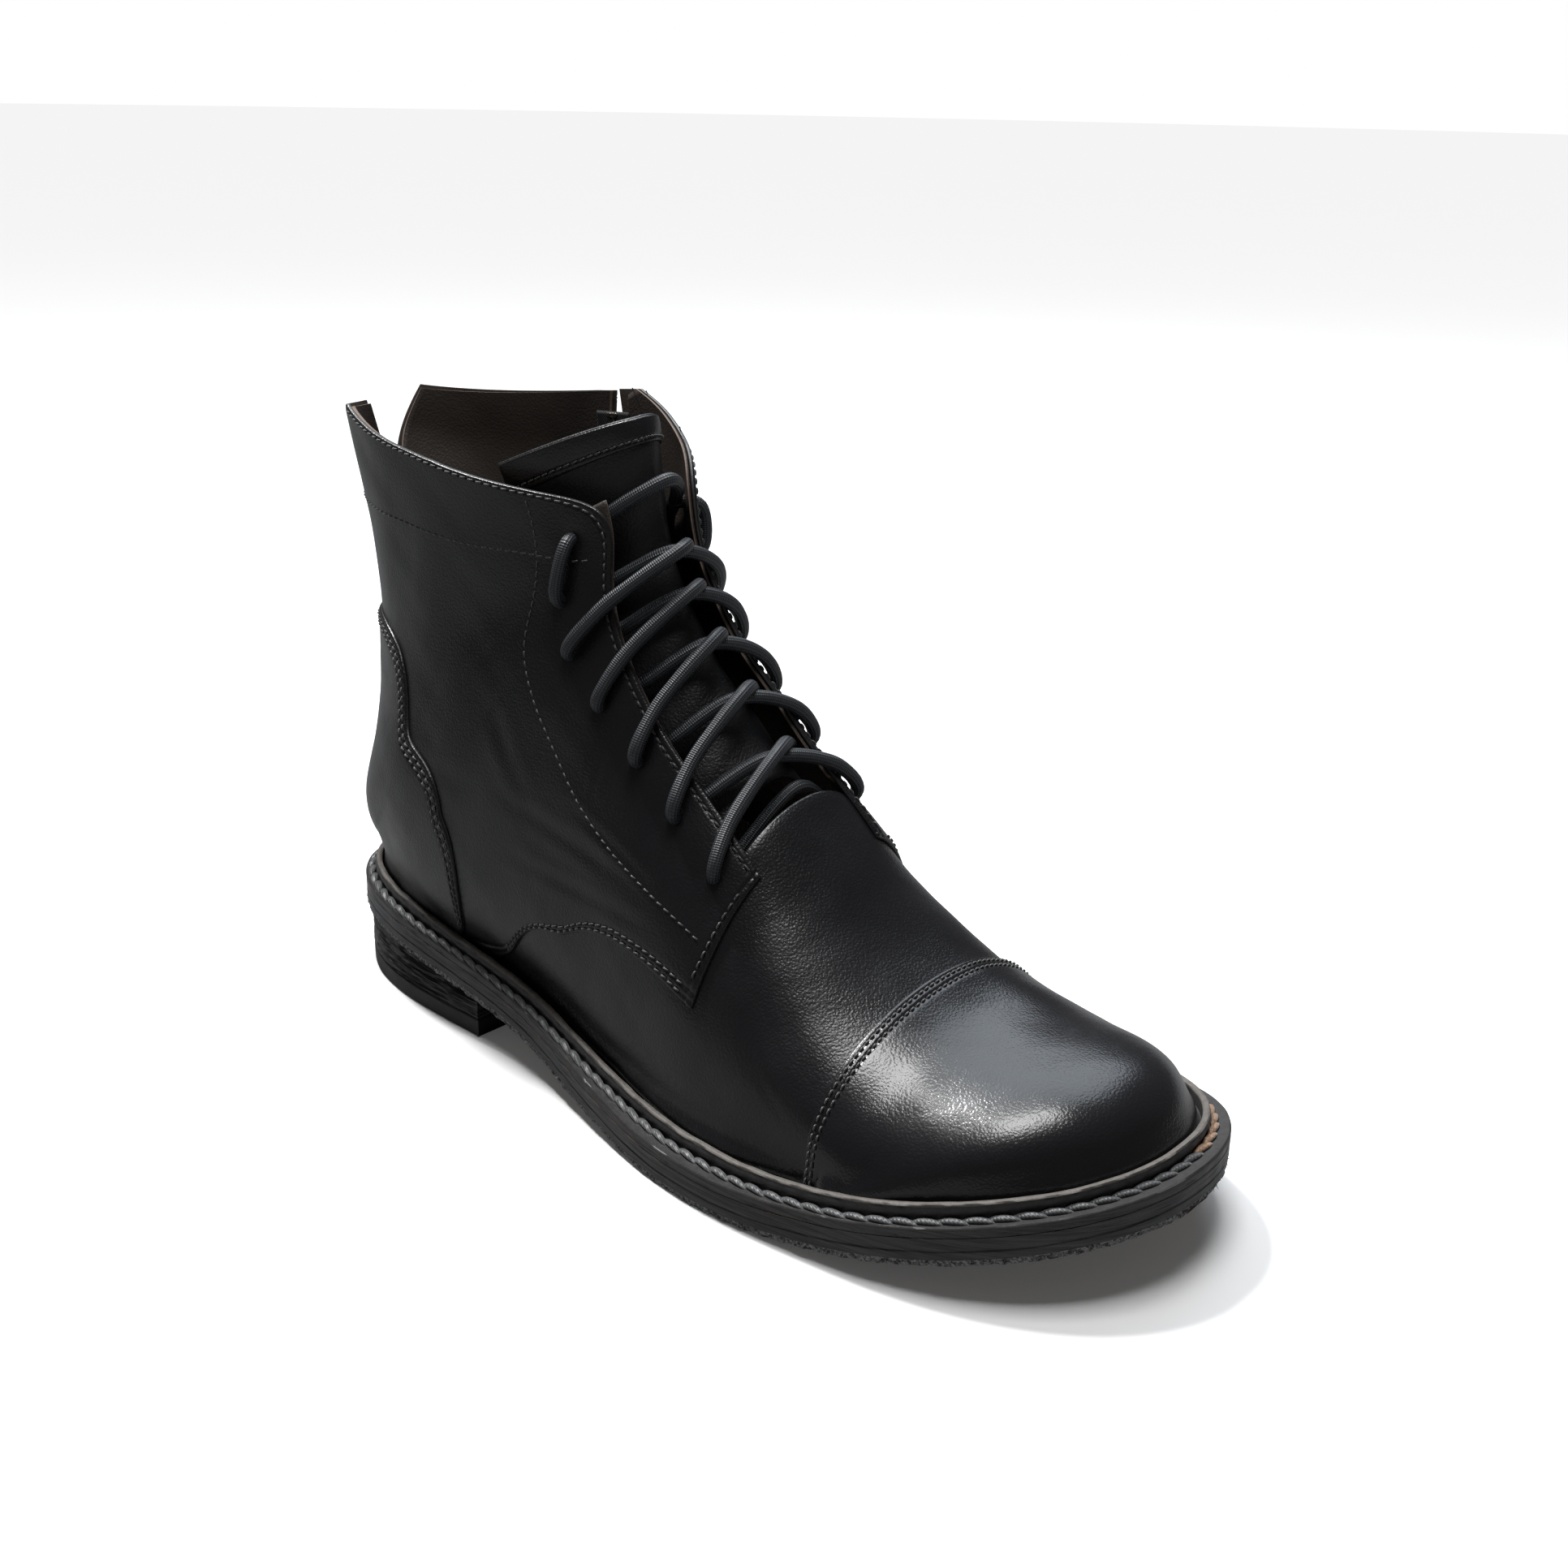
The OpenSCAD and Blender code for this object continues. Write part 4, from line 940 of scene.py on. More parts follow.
def fibres():
    """Short leather fibres along the raw lower edge of the outsole."""
    ring = outline(WELT_W)
    count = 220
    pick = rng.integers(0, len(RING), count)
    n = RING_N[pick]
    level = rng.uniform(0.2, 1.6, count)
    x, y = (ring[pick] - 0.2 * n).T
    root = np.column_stack([x, y, np.maximum(sole_z(x), 0) + level])
    keep = x > BREAST_X + 4
    root, n = root[keep], n[keep]
    size = rng.uniform(0.5, 1.9, len(root))
    spread_way = rng.normal(scale=0.8, size=(len(root), 3))
    way = unit(np.column_stack([n, np.full(len(root), -0.35)]) + spread_way)
    bend = rng.normal(scale=0.3, size=(len(root), 3))
    t = np.linspace(0, 1, 5)[:, None]
    centre = root[:, None] + (t * way[:, None] + t ** 2 * bend[:, None]) * size[:, None, None]
    centre[..., 2] = np.maximum(centre[..., 2], 0.15)
    side, up = square_to(way)
    width = 0.16 * (1.1 - t[:, 0])
    obj = tubes("outsole_fibres", centre, side[:, None], up[:, None], width, width, [RAW_SOLE], sides=4)
    return place(obj, "boot", "sole_leather")


fibres()


# ---------------------------------------------------------------- edges of the panels
def run(stations, girth):
    return [[s, girth] for s in stations]


def mirrored(half):
    """The outer half of a line carried on over the ridge as its own mirror image."""
    return half + [[s, -u] for s, u in half[-2::-1]]


FRONT_OUT, FRONT_IN = -0.185, 0.115
QUARTER_FRONT = [[8.0, FRONT_OUT], [8.6, -0.185], [9.3, -0.19], [10.1, -0.2], [10.9, -0.19], [11.8, -0.18],
                 [12.8, -0.17], [14.0, -0.17], [15.1, -0.19], [15.9, -0.33], [16.8, -0.51], [17.8, -0.78]]
QUARTER_LOW = ([[8.1, -0.42], [9.0, -0.43], [9.8, -0.45], [10.4, -0.52], [10.65, -0.7]]
               + run([10.7, 11.8, 12.9], -BOTTOM) + run([13.8, 15, 16.4], -SEAM)
               + [[17.3, -0.985], [17.85, -0.95]])
INNER_FRONT = [[7.7, FRONT_IN], [8.6, 0.115], [9.6, 0.115], [10.6, 0.11], [11.6, 0.105],
               [12.8, 0.11], [14.0, 0.115], [15.2, 0.13], [16.0, 0.2], [16.7, 0.3], [17.15, 0.38]]
SIDE_SEAM = [[11.5, BOTTOM], [11.5, BOTTOM], [11.5, 0.78], [11.7, 0.6], [12.0, 0.48]]
ZIP_LINE = [[12.2, 0.421], [12.45, 0.405], [12.7, 0.395], [13, 0.391], [13.4, 0.393], [13.9, 0.406],
    [14.5, 0.425], [15.2, 0.441], [15.9, 0.45], [16.6, 0.45], [17.25, 0.445]]
INNER_LOW = [[7.8, 0.42], [8.7, 0.43], [9.5, 0.45], [10.2, 0.5], [10.5, 0.62], [10.6, 0.8],
             [10.6, BOTTOM], [10.6, BOTTOM]]
INNER_BACK = (run([11.6, 11.9, 12.2, 12.6, 13.0], BOTTOM) + run([13.6, 14.2, 14.9, 15.6, 16.3], SEAM)
              + [[17.0, 0.975], [17.5, 0.94], [17.95, 0.88]])
COVER_EDGE = [[11.2, -0.88], [11.3, -0.7], [11.6, -0.53], [12.2, -0.46], [13.1, -0.49], [14.0, -0.56],
              [14.8, -0.63], [15.3, -0.74], [15.55, -0.87], [15.6, -1]]
COVER_FOOT = (run([11.2, 11.5, 11.8, 12.1, 12.4, 12.6, 12.8, 12.95], -BOTTOM)
              + [[13.05, -SEAM], [13.1, -1]])
ZIP_SLOT_HALF, SLIT_HALF, LINING_GAP = 3.2, 1.1, 4.2


def both_halves(half):
    """An outer half carried on round the back seam as its own mirror image."""
    return half + [[p[0], -2 - p[1]] for p in half[-2::-1]]


def move_line(line, by, last_by):
    """A line moved sideways by a distance in mm, by less at its first point and by last_by at its last."""
    line = np.array(line, float)
    before = line[np.maximum(np.arange(len(line)) - 1, 0)]
    after = line[np.minimum(np.arange(len(line)) + 1, len(line) - 1)]
    way = raw_at(after[:, 0], after[:, 1])[0] - raw_at(before[:, 0], before[:, 1])[0]
    step = raw_at(line[:, 0], line[:, 1] + 0.01)[0] - raw_at(line[:, 0], line[:, 1] - 0.01)[0]
    across = 50 * np.linalg.norm(np.cross(step, way), axis=1) / np.linalg.norm(way, axis=1)
    far = np.full(len(line), float(by))
    far[0], far[-1] = 0.35 * by, last_by
    return np.column_stack([line[:, 0], line[:, 1] + far / across])


def along(table):
    return lambda t: spline(table, (len(table) - 1) * np.asarray(t))


def constant(girth, s0, s1):
    return lambda t: np.column_stack([s0 + (s1 - s0) * np.asarray(t), np.full(len(t), girth)])


# Heights of each layer's inner and outer face
HULL, COVER, CORE = (0.0, 1.4), (1.45, 2.6), (-1.5, -0.12)
FACING, LINING_TOP, LINING_DEEP = (-1.25, -0.05), (-1.35, -0.08), (-4.2, -2.9)
TONGUE, BAND = (-9.2, -7.75), (-7.8, -6.75)
# A lining starts to sink this far from its open edge, and has sunk after this much more
SINK_FROM, SINK_OVER = 14, 26


def hole_cutter(girth, name):
    """Seven punches along the surface normal."""
    hole, n = raw_at(EYELET_S, girth)
    t = np.array([-7.0, 0.0, 8.0])
    side, up = square_to(n)
    return tubes(name, hole[:, None] + t[:, None] * n[:, None], side[:, None], up[:, None],
                 HOLE_D, HOLE_D, [EDGE], sides=28)


cutters = {EYELET_OUT: hole_cutter(EYELET_OUT, "cutter_out"), EYELET_IN: hole_cutter(EYELET_IN, "cutter_in")}

# ---------------------------------------------------------------- upper
LEATHER = [BLACK, FLESH, EDGE]
EDGE_STITCH, ZIP_STITCH, DOUBLE, CAP_DOUBLE = 2.2, 1.8, [1.8, 4.0], [1.7, 3.9]
CAP = (0.05, 1.35)


def leather_piece(node_name, panel, layer_heights, materials=LEATHER, cutter=None, slot="black_leather"):
    place(panel.build(node_name + "_leather", layer_heights, materials, cutter), "boot", slot, node_name)


cap_panel = Panel(constant(-BOTTOM, TIP, CAP_STATION), constant(BOTTOM, TIP, CAP_STATION), "end",
                  {"end": CAP_DOUBLE}, step=1.5)
leather_piece("toe_cap", cap_panel, CAP, [CAP_LEATHER, FLESH, EDGE])

VAMP_START, THROAT = 5.25, 8.35
VAMP_OUTER = mirrored(run([11.1, 9.4, 7.8, 6.4], -BOTTOM)
                      + [[VAMP_START, u] for u in (-BOTTOM, -0.66, -0.33, 0)])
VAMP_INNER = mirrored([[10.8, -0.48], [9.7, -0.4], [9.1, -0.37], [8.6, -0.35]]
                      + [[THROAT, u] for u in (-0.33, -0.22, -0.11, 0)])
vamp_panel = Panel(lambda t: runs_line(VAMP_OUTER, t), lambda t: runs_line(VAMP_INNER, t), "b", step=1.6)
leather_piece("vamp", vamp_panel, CORE)

lateral_panel = Panel(along(QUARTER_LOW), along(QUARTER_FRONT), "a b start end",
                      {"a": DOUBLE, "b": [EDGE_STITCH], "start": [EDGE_STITCH]}, step=1.6)
leather_piece("lateral_quarter", lateral_panel, HULL, cutter=cutters[EYELET_OUT])

INNER_SIDE = np.concatenate([INNER_LOW, [[s - 0.1, u] for s, u in SIDE_SEAM],
                             move_line(ZIP_LINE, -ZIP_SLOT_HALF, -SLIT_HALF)])
inner_panel = Panel(along(INNER_FRONT), along(INNER_SIDE), "a b start end",
                    {"a": [EDGE_STITCH], "b": [ZIP_STITCH], "start": [EDGE_STITCH]}, step=1.7)
leather_piece("medial_quarter_front", inner_panel, HULL, cutter=cutters[EYELET_IN])

REAR_SIDE = np.concatenate([SIDE_SEAM, move_line(ZIP_LINE, ZIP_SLOT_HALF, SLIT_HALF)])
rear_panel = Panel(along(REAR_SIDE), along(INNER_BACK), "a end",
                   {"a": [ZIP_STITCH], "end": [EDGE_STITCH]}, step=1.7)
leather_piece("medial_quarter_rear", rear_panel, HULL)

cover_panel = Panel(along(both_halves(COVER_EDGE)), along(both_halves(COVER_FOOT)), "a", {"a": DOUBLE},
                    step=1.6)
leather_piece("counter_cover", cover_panel, COVER)

FACED, LINED = [LINING, LINING, RAW_EDGE], [FLESH, LINING, RAW_EDGE]
front_rows = [p for p in QUARTER_FRONT if 8.5 < p[0] < 15.5]
out_facing = Panel(along([[s, -0.335] for s, _ in front_rows]), along(front_rows), "b", step=2.2)
leather_piece("lateral_facing", out_facing, FACING, FACED, cutters[EYELET_OUT], "lining_leather")
FACING_REAR = [[8.6, 0.32], [9.6, 0.355], [10.6, 0.365], [11.6, 0.37], [12.8, 0.355],
               [14.0, 0.37], [15.2, 0.395], [16.0, 0.4], [16.7, 0.405], [17.1, 0.405]]
in_facing = Panel(along([p for p in INNER_FRONT if p[0] > 8.5]), along(FACING_REAR), "a", step=2.2)
leather_piece("medial_facing", in_facing, FACING, FACED, cutters[EYELET_IN], "lining_leather")


def lining(node_name, panel, edge_names):
    """A lining lies against the leather along its open edges and sinks behind the stiffener lower down."""
    d = panel.distances()
    near = np.min([d[e] for e in edge_names.split()], axis=0)
    t = np.clip((near - SINK_FROM) / SINK_OVER, 0, 1)
    t = t * t * (3 - 2 * t)
    s, u = panel.places[..., 0], panel.places[..., 1]
    heights = [a + t * (b - a) for a, b in zip(LINING_TOP, LINING_DEEP)]
    obj = shell_mesh(node_name + "_leather", at(s, u, heights[1]), at(s, u, heights[0]), LINED)
    place(obj, "boot", "lining_leather", node_name)


GIRTH_LOW = 0.97
LINING_LOW = (run([8.6, 10, 11.5, 13], -GIRTH_LOW) + run([14.2, 15.4, 16.4], -SEAM)
              + [[17.25, -0.985], [17.8, -0.95]])
LINING_HIGH = (run([8.6, 10, 11.5, 12.8, 14], -0.35)
               + [[15.3, -0.345], [15.7, -0.31], [16.75, -0.51], [17.75, -0.78]])
lining("lateral_lining", Panel(along(LINING_LOW), along(LINING_HIGH), "b end", step=2.2), "b end")
LINING_SIDE = np.concatenate([[[8.6, 0.4], [9.6, 0.41], [10.4, 0.43], [11.1, 0.46], [11.8, 0.48]],
                              move_line(ZIP_LINE, LINING_GAP, 2.0)])
LINING_BACK = (run([8.6, 9.8, 11, 12.2, 13.1], GIRTH_LOW) + run([13.8, 14.6, 15.4, 16.2], SEAM)
               + [[17.0, 0.975], [17.45, 0.94], [17.9, 0.88]])
lining("medial_lining", Panel(along(LINING_SIDE), along(LINING_BACK), "a end", step=2.2), "end")
LINING_TIP = TIP + 0.4
toe_lining = Panel(constant(-GIRTH_LOW, LINING_TIP, THROAT), constant(GIRTH_LOW, LINING_TIP, THROAT),
                   step=3)
leather_piece("vamp_lining", toe_lining, LINING_DEEP, LINED, slot="lining_leather")

sock = layer("sock_liner_leather", -5.4, SOLE_T + 2.4, SOLE_T + 3.4, levels(3), [SOCK] * 3, lambda level: 0,
             lambda x, y, level: np.zeros_like(x))
place(sock, "boot", "lining_leather", "sock_liner")

# ---------------------------------------------------------------- tongue
TONGUE_OUT = [[8.7, -0.17], [9.6, -0.28], [10.6, -0.3], [11.8, -0.31], [13, -0.32], [14.3, -0.34],
              [15.5, -0.38], [16.38, -0.41]]
TONGUE_IN = [[8.7, 0.24], [9.6, 0.27], [10.6, 0.29]] + run([11.8, 13, 14.2, 15.5], 0.3) + [[16.5, 0.29]]
BAND_OUT, BAND_IN = [[15.85, -0.395], [16.36, -0.405]], [[15.95, 0.285], [16.46, 0.285]]


# Height of the bulges, and how many stations apart they are
PUFF, PUFF_STEP = 0.18, 1.15


def tongue_piece(node_name, panel, layer_heights, materials):
    """A piece of the tongue, which bulges a little between the laces."""
    s, u = panel.places[..., 0], panel.places[..., 1]
    crown = np.cos(np.pi * np.clip(u / 0.4, -0.5, 0.5))
    puff = PUFF * crown * np.sin(2 * np.pi * (s - EYELET_S[0]) / PUFF_STEP)
    outer, inner = panel.heights(*layer_heights)
    obj = shell_mesh(node_name + "_leather", at(s, u, outer + puff), at(s, u, inner + puff), materials)
    place(obj, "tongue", "black_leather", node_name)


BAND_STITCH = 1.5
tongue_panel = Panel(along(TONGUE_OUT), along(TONGUE_IN), "a b end", step=1.8)
tongue_piece("tongue", tongue_panel, TONGUE, [TONGUE_LEATHER, LINING, EDGE])
band_panel = Panel(along(BAND_OUT), along(BAND_IN), "a b start end", {"start": [BAND_STITCH]}, step=1.0)
tongue_piece("tongue_band", band_panel, BAND, LEATHER)

# ---------------------------------------------------------------- upper stitching
PITCH, THREAD_D, SUNK = 2.9, 0.62, 0.12
SEAM_TOP = HULL[1] - SUNK


def panel_rows(panel, edge, distances, start, end, height=SEAM_TOP, pitch=PITCH, thread=THREAD_D):
    """Stitch rows along a panel's edge, between two shares of its length."""
    return [stitch_row(panel.row(edge, d, start, end), height, pitch, thread) for d in distances]


def free_row(points):
    """A stitch row along a curve of its own."""
    return [stitch_row(along(points)(np.linspace(0, 1, 160)), SEAM_TOP, PITCH, THREAD_D * 0.85)]


def seam(name, rows, body="boot"):
    place(ring_tubes(name, np.concatenate(rows), [THREAD]), body, "lace")


seam("cap_stitches", panel_rows(cap_panel, "end", CAP_DOUBLE, 0.01, 0.99, CAP[1] - SUNK, 2.3, 0.6))
seam("lateral_stitches",
     panel_rows(lateral_panel, "a", DOUBLE, 0.05, 0.36)
     + panel_rows(lateral_panel, "b", [EDGE_STITCH], 0.05, 0.985)
     + panel_rows(lateral_panel, "start", [EDGE_STITCH], 0.12, 0.9)
     + free_row([[8.3, -0.335], [9.0, -0.348], [9.86, -0.36], [10.6, -0.35], [11.3, -0.325],
                 [12.5, -0.305], [13.8, -0.3], [14.8, -0.31], [15.75, -0.33]])
     + free_row([[17.0, -0.985], [16.7, -0.83], [16.45, -0.69], [15.8, -0.51], [15.0, -0.335],
                 [14.2, -0.25], [13.75, -0.195]]))
seam("medial_stitches",
     panel_rows(inner_panel, "b", DOUBLE, 0.02, 0.3)
     + panel_rows(inner_panel, "b", [ZIP_STITCH], 0.6, 0.985)
     + panel_rows(inner_panel, "a", [EDGE_STITCH], 0.05, 0.985)
     + panel_rows(inner_panel, "start", [EDGE_STITCH], 0.12, 0.9)
     + panel_rows(rear_panel, "a", [ZIP_STITCH], 0.32, 0.985)
     + panel_rows(rear_panel, "end", [EDGE_STITCH], 0.03, 0.97)
     + free_row([[8.3, 0.33], [9.2, 0.345], [10.2, 0.345], [11.3, 0.315], [12.5, 0.285], [13.8, 0.275],
                 [14.8, 0.285], [15.7, 0.3]])
     + free_row([[13.9, 0.14], [14.5, 0.2], [15.1, 0.28], [15.8, 0.38], [16.05, 0.42]])
     + free_row([[16.25, 0.48], [16.5, 0.62], [16.75, 0.8], [17.0, 0.97]]))
seam("counter_stitches", panel_rows(cover_panel, "a", DOUBLE, 0.01, 0.99, COVER[1] - SUNK))
seam("tongue_stitches", panel_rows(band_panel, "start", [BAND_STITCH], 0.02, 0.98, BAND[1] - 0.1, 2.8, 0.55),
     "tongue")


# ---------------------------------------------------------------- stray thread ends on the collar
def thread_ends():
    starts = [([16.9, 0.36], (-0.5, 0.3, 1.0)), ([17.05, 0.40], (0.2, -0.4, 1.0)),
              ([16.2, 0.24], (0.5, -0.5, 0.8))]
    curl = np.array([0.6, -0.8, -0.5])
    t = np.linspace(0, 1, 9)[:, None]
    centre = np.array([at(s, u, 0.8) + 5.5 * t * np.array(way) / 1.2 + 2.2 * t ** 2 * curl
                       for (s, u), way in starts])
    side, up = square_to(unit(np.gradient(centre, axis=1)))
    place(tubes("thread_ends", centre, side, up, 0.35, 0.35, [THREAD], sides=6), "boot", "lace")


thread_ends()

# ---------------------------------------------------------------- lace
LACE_D, LACE_OVER, LACE_UNDER, RISE_OVER, RISE_UNDER = 4.0, 3.6, -3.8, 3.4, -1.2


def strand(k, from_u, edge_from, edge_to, rise):
    """From a hole over one edge of the opening and down inside the other."""
    s0, s1 = EYELET_S[k], EYELET_S[k + 1]
    return [[s0, from_u, LACE_UNDER], [s0, from_u + 0.06 * (edge_from - from_u), LACE_OVER],
            [0.8 * s0 + 0.2 * s1, edge_from, LACE_OVER], [(s0 + s1) / 2, (edge_from + edge_to) / 2, rise],
            [0.2 * s0 + 0.8 * s1, edge_to, LACE_UNDER]]


def climb(first):
    """One end of the lace up through the eyelets, from side to side."""
    places = []
    for k in range(5):
        out = (k % 2 == 0) == (first == 0)
        if out:
            places += strand(k, EYELET_OUT, FRONT_OUT, FRONT_IN, RISE_OVER)
        else:
            places += strand(k, EYELET_IN, FRONT_IN, FRONT_OUT, RISE_UNDER)
    return places


def finish(u):
    s5, s6 = EYELET_S[5], EYELET_S[6]
    return [[s5, u, LACE_UNDER], [s5 + 0.12, u, LACE_OVER], [s6 - 0.12, u, LACE_OVER], [s6, u, LACE_UNDER]]


def under(places):
    return [[s, u, LACE_UNDER] for s, u in places]


TUCK_A = ([[14.8, -0.19, LACE_UNDER], [14.9, -0.1, -2.8], [14.95, 0, -2.6], [14.9, 0.08, -3.2]]
          + under([[14.75, 0.19], [14.3, 0.3], [13.4, 0.335], [12.5, 0.34], [11.7, 0.345]]))
TUCK_B = under([[14.3, 0.25], [13.5, 0.265], [12.7, 0.27], [12.0, 0.275]])
ROUTE = ((climb(0) + finish(EYELET_IN) + TUCK_B)[::-1] + [[8.5, 0, LACE_UNDER]]
         + climb(1) + finish(EYELET_OUT) + TUCK_A)


def between(t, t0, t1, v0, v1):
    return (t1 - t) / (t1 - t0) * v0 + (t - t0) / (t1 - t0) * v1


def smooth_route(points, step):
    """Points every step mm on a curve that goes through all of them without loops."""
    p = np.vstack([2 * points[0] - points[1], points, 2 * points[-1] - points[-2]])
    out = []
    for k in range(len(p) - 3):
        q = p[k:k + 4]
        knots = np.concatenate([[0], np.cumsum(np.sqrt(np.linalg.norm(np.diff(q, axis=0), axis=1)) + 1e-6)])
        t = np.linspace(knots[1], knots[2], 24, endpoint=False)[:, None]
        a = [between(t, knots[i], knots[i + 1], q[i], q[i + 1]) for i in range(3)]
        b = [between(t, knots[i], knots[i + 2], a[i], a[i + 1]) for i in range(2)]
        out.append(between(t, knots[1], knots[2], *b))
    fine = np.vstack(out + [points[-1:]])
    length = arc(fine)
    spots = np.linspace(0, length[-1], int(length[-1] / step) + 1)
    return np.column_stack([np.interp(spots, length, fine[:, c]) for c in range(3)]), spots


def cord(name, path, spots, diameter, sides, materials):
    """One round tube along a path, turned as little as it can be, with coordinates for a braid."""
    way = unit(np.gradient(path, axis=0))
    turning = [np.cross(way[0], [0.1, 0.2, 1.0])]
    for w in way:
        turning.append(unit(turning[-1] - w * (turning[-1] @ w)))
    side = np.array(turning[1:])
    up = np.cross(way, side)
    angle = np.linspace(0, 2 * np.pi, sides + 1)
    ring = path[:, None] + diameter[:, None, None] / 2 * (np.cos(angle)[:, None] * side[:, None]
                                                          + np.sin(angle)[:, None] * up[:, None])
    uv = np.stack(np.broadcast_arrays(spots[:, None], np.linspace(0, 1, sides + 1)[None]), -1)
    faces = grid_faces(len(path), sides + 1).tolist()
    caps = [list(range(sides)), [(len(path) - 1) * (sides + 1) + i for i in range(sides - 1, -1, -1)]]
    return mesh(name, ring, faces + caps, materials, uv=uv)


route = np.array(ROUTE)
lace_points = raw_at(route[:, 0], route[:, 1], route[:, 2])[0]
lace_path, lace_spots = smooth_route(lace_points, 0.9)
squash = LACE_D * (1 + 0.03 * np.sin(lace_spots / 5.3) + 0.02 * np.sin(lace_spots / 2.1 + 1))
place(cord("lace_cord", lace_path, lace_spots, squash, 16, [LACE]), "boot", "lace", "lace")


def aglets():
    """A crimped sleeve on each end of the lace."""
    profile = np.array([[-0.6, 1.9], [0.0, 2.7], [0.5, 3.0], [2.0, 3.0], [2.5, 2.75], [3.0, 3.0], [8.0, 3.0],
                        [8.6, 2.75], [9.2, 3.0], [19.5, 3.0], [21.2, 2.8], [22.0, 2.3], [22.2, 1.2]])
    end = lace_points[[0, -1]]
    way = unit(end - lace_points[[1, -2]])[:, None]
    side = unit(np.cross(way, [0.1, 0.2, 1.0]))
    width = profile[:, 1]
    obj = tubes("lace_aglets", end[:, None] + profile[:, :1] * way, side, np.cross(way, side), width, width,
                [AGLET], sides=20)
    place(obj, "boot", "aglet", "lace_aglets")


AGLET = new_material("aglet_plastic", (0.012, 0.012, 0.013), 0.3)
roughness(AGLET, noise(AGLET, 400, 3), 0.22, 0.4)
bump(AGLET, noise(AGLET, 900, 3), 0.03, 0.5)
aglets()

# ---------------------------------------------------------------- zip
ZIP_FOOT, ZIP_LEAN, ZIP_TILT, ZIP_TURN = (-72.0, 28.6, 96.0), -5.0, -2.6, -5.0
ZIP_LEN, TOOTH_PITCH, TOOTH_INNER = 86.0, 2.4, 0.36
TOOTH = (1.95, 1.6, 1.3)
TAPE_T = 0.6
zip_turn = (Matrix.Rotation(math.radians(ZIP_LEAN), 3, "Y") @ Matrix.Rotation(math.radians(ZIP_TILT), 3, "X")
            @ Matrix.Rotation(math.radians(ZIP_TURN), 3, "Z"))
ZIP_AXES = np.array(zip_turn)


def zip_at(points):
    """From the zip's own frame, x across, y out of the boot and z up the chain, to the boot's."""
    return np.asarray(points, float) @ ZIP_AXES.T + np.array(ZIP_FOOT)


def zip_tape(side, node_name):
    """Woven tape that lies flat under the leather beside the chain."""
    z = np.linspace(-2, ZIP_LEN + 2, 90)
    x = np.array([0.75, 0.85, 1.1, 1.35, 1.6, 2.2, 3.2, 4.3, 5.4, 6.4, 7.3, 7.7]) * side
    cord_edge = np.array([0.0, 0.25, 0.35, 0.25, 0.05, 0, 0, 0, 0, 0, 0, 0])
    zz, xx = np.meshgrid(z, x, indexing="ij")
    ripple = 0.06 * np.sin(zz / 3.1) + 0.04 * np.sin(zz / 1.3 + xx)
    outer = zip_at(np.stack([xx, ripple + TAPE_T / 2 + cord_edge, zz], -1))
    inner = zip_at(np.stack([xx, ripple - TAPE_T / 2 - cord_edge, zz], -1))
    if side < 0:
        outer, inner = outer[:, ::-1], inner[:, ::-1]
    place(shell_mesh(node_name + "_weave", outer, inner, [TAPE] * 3), "boot", "zip_tape", node_name)


def bevelled_box(size, bevel):
    """Points and faces of a box with cut-off edges, centred on the origin."""
    half = np.array(size, float) / 2
    points, index = [], {}
    for corner in np.ndindex(2, 2, 2):
        sign = np.array(corner) * 2 - 1
        for axis in range(3):
            p = sign * (half - bevel)
            p[axis] = sign[axis] * half[axis]
            index[(*corner, axis)] = len(points)
            points.append(p)
    faces = []
    for axis in range(3):
        u, v = [a for a in range(3) if a != axis]
        for end in (0, 1):
            loop = []
            for a, b in ((0, 0), (1, 0), (1, 1), (0, 1)):
                corner = [0, 0, 0]
                corner[axis], corner[u], corner[v] = end, a, b
                loop.append(index[(*corner, axis)])
            faces.append(loop)
        for a in (0, 1):
            for b in (0, 1):
                low, high = [0, 0, 0], [0, 0, 0]
                low[u], low[v] = a, b
                high[u], high[v] = a, b
                high[axis] = 1
                faces.append([index[(*low, u)], index[(*high, u)], index[(*high, v)], index[(*low, v)]])
    faces += [[index[(*corner, axis)] for axis in range(3)] for corner in np.ndindex(2, 2, 2)]
    return np.array(points), faces


def metal_piece(node_name, ending, parts, body="boot"):
    """One object of zip metal from (points in the zip frame, faces) parts."""
    points, faces = [], []
    start = 0
    for p, f in parts:
        points.append(p)
        faces += [[start + i for i in face] for face in f]
        start += len(p)
    obj = mesh(node_name + ending, zip_at(np.concatenate(points)), faces, [ZIP_METAL], smooth=False)
    tidy_mesh(obj, math.radians(30))
    place(obj, body, "zip_metal", node_name)


def boxes(places, size, bevel):
    points, faces = bevelled_box(size, bevel)
    return [(points + np.array(p), faces) for p in places]


def tooth_row(side):
    z = np.arange(36) * TOOTH_PITCH + (0 if side > 0 else TOOTH_PITCH / 2)
    return [((TOOTH_INNER + TOOTH[0] / 2) * side, 0.0, v + TOOTH[2] / 2) for v in z if v < ZIP_LEN - 1]


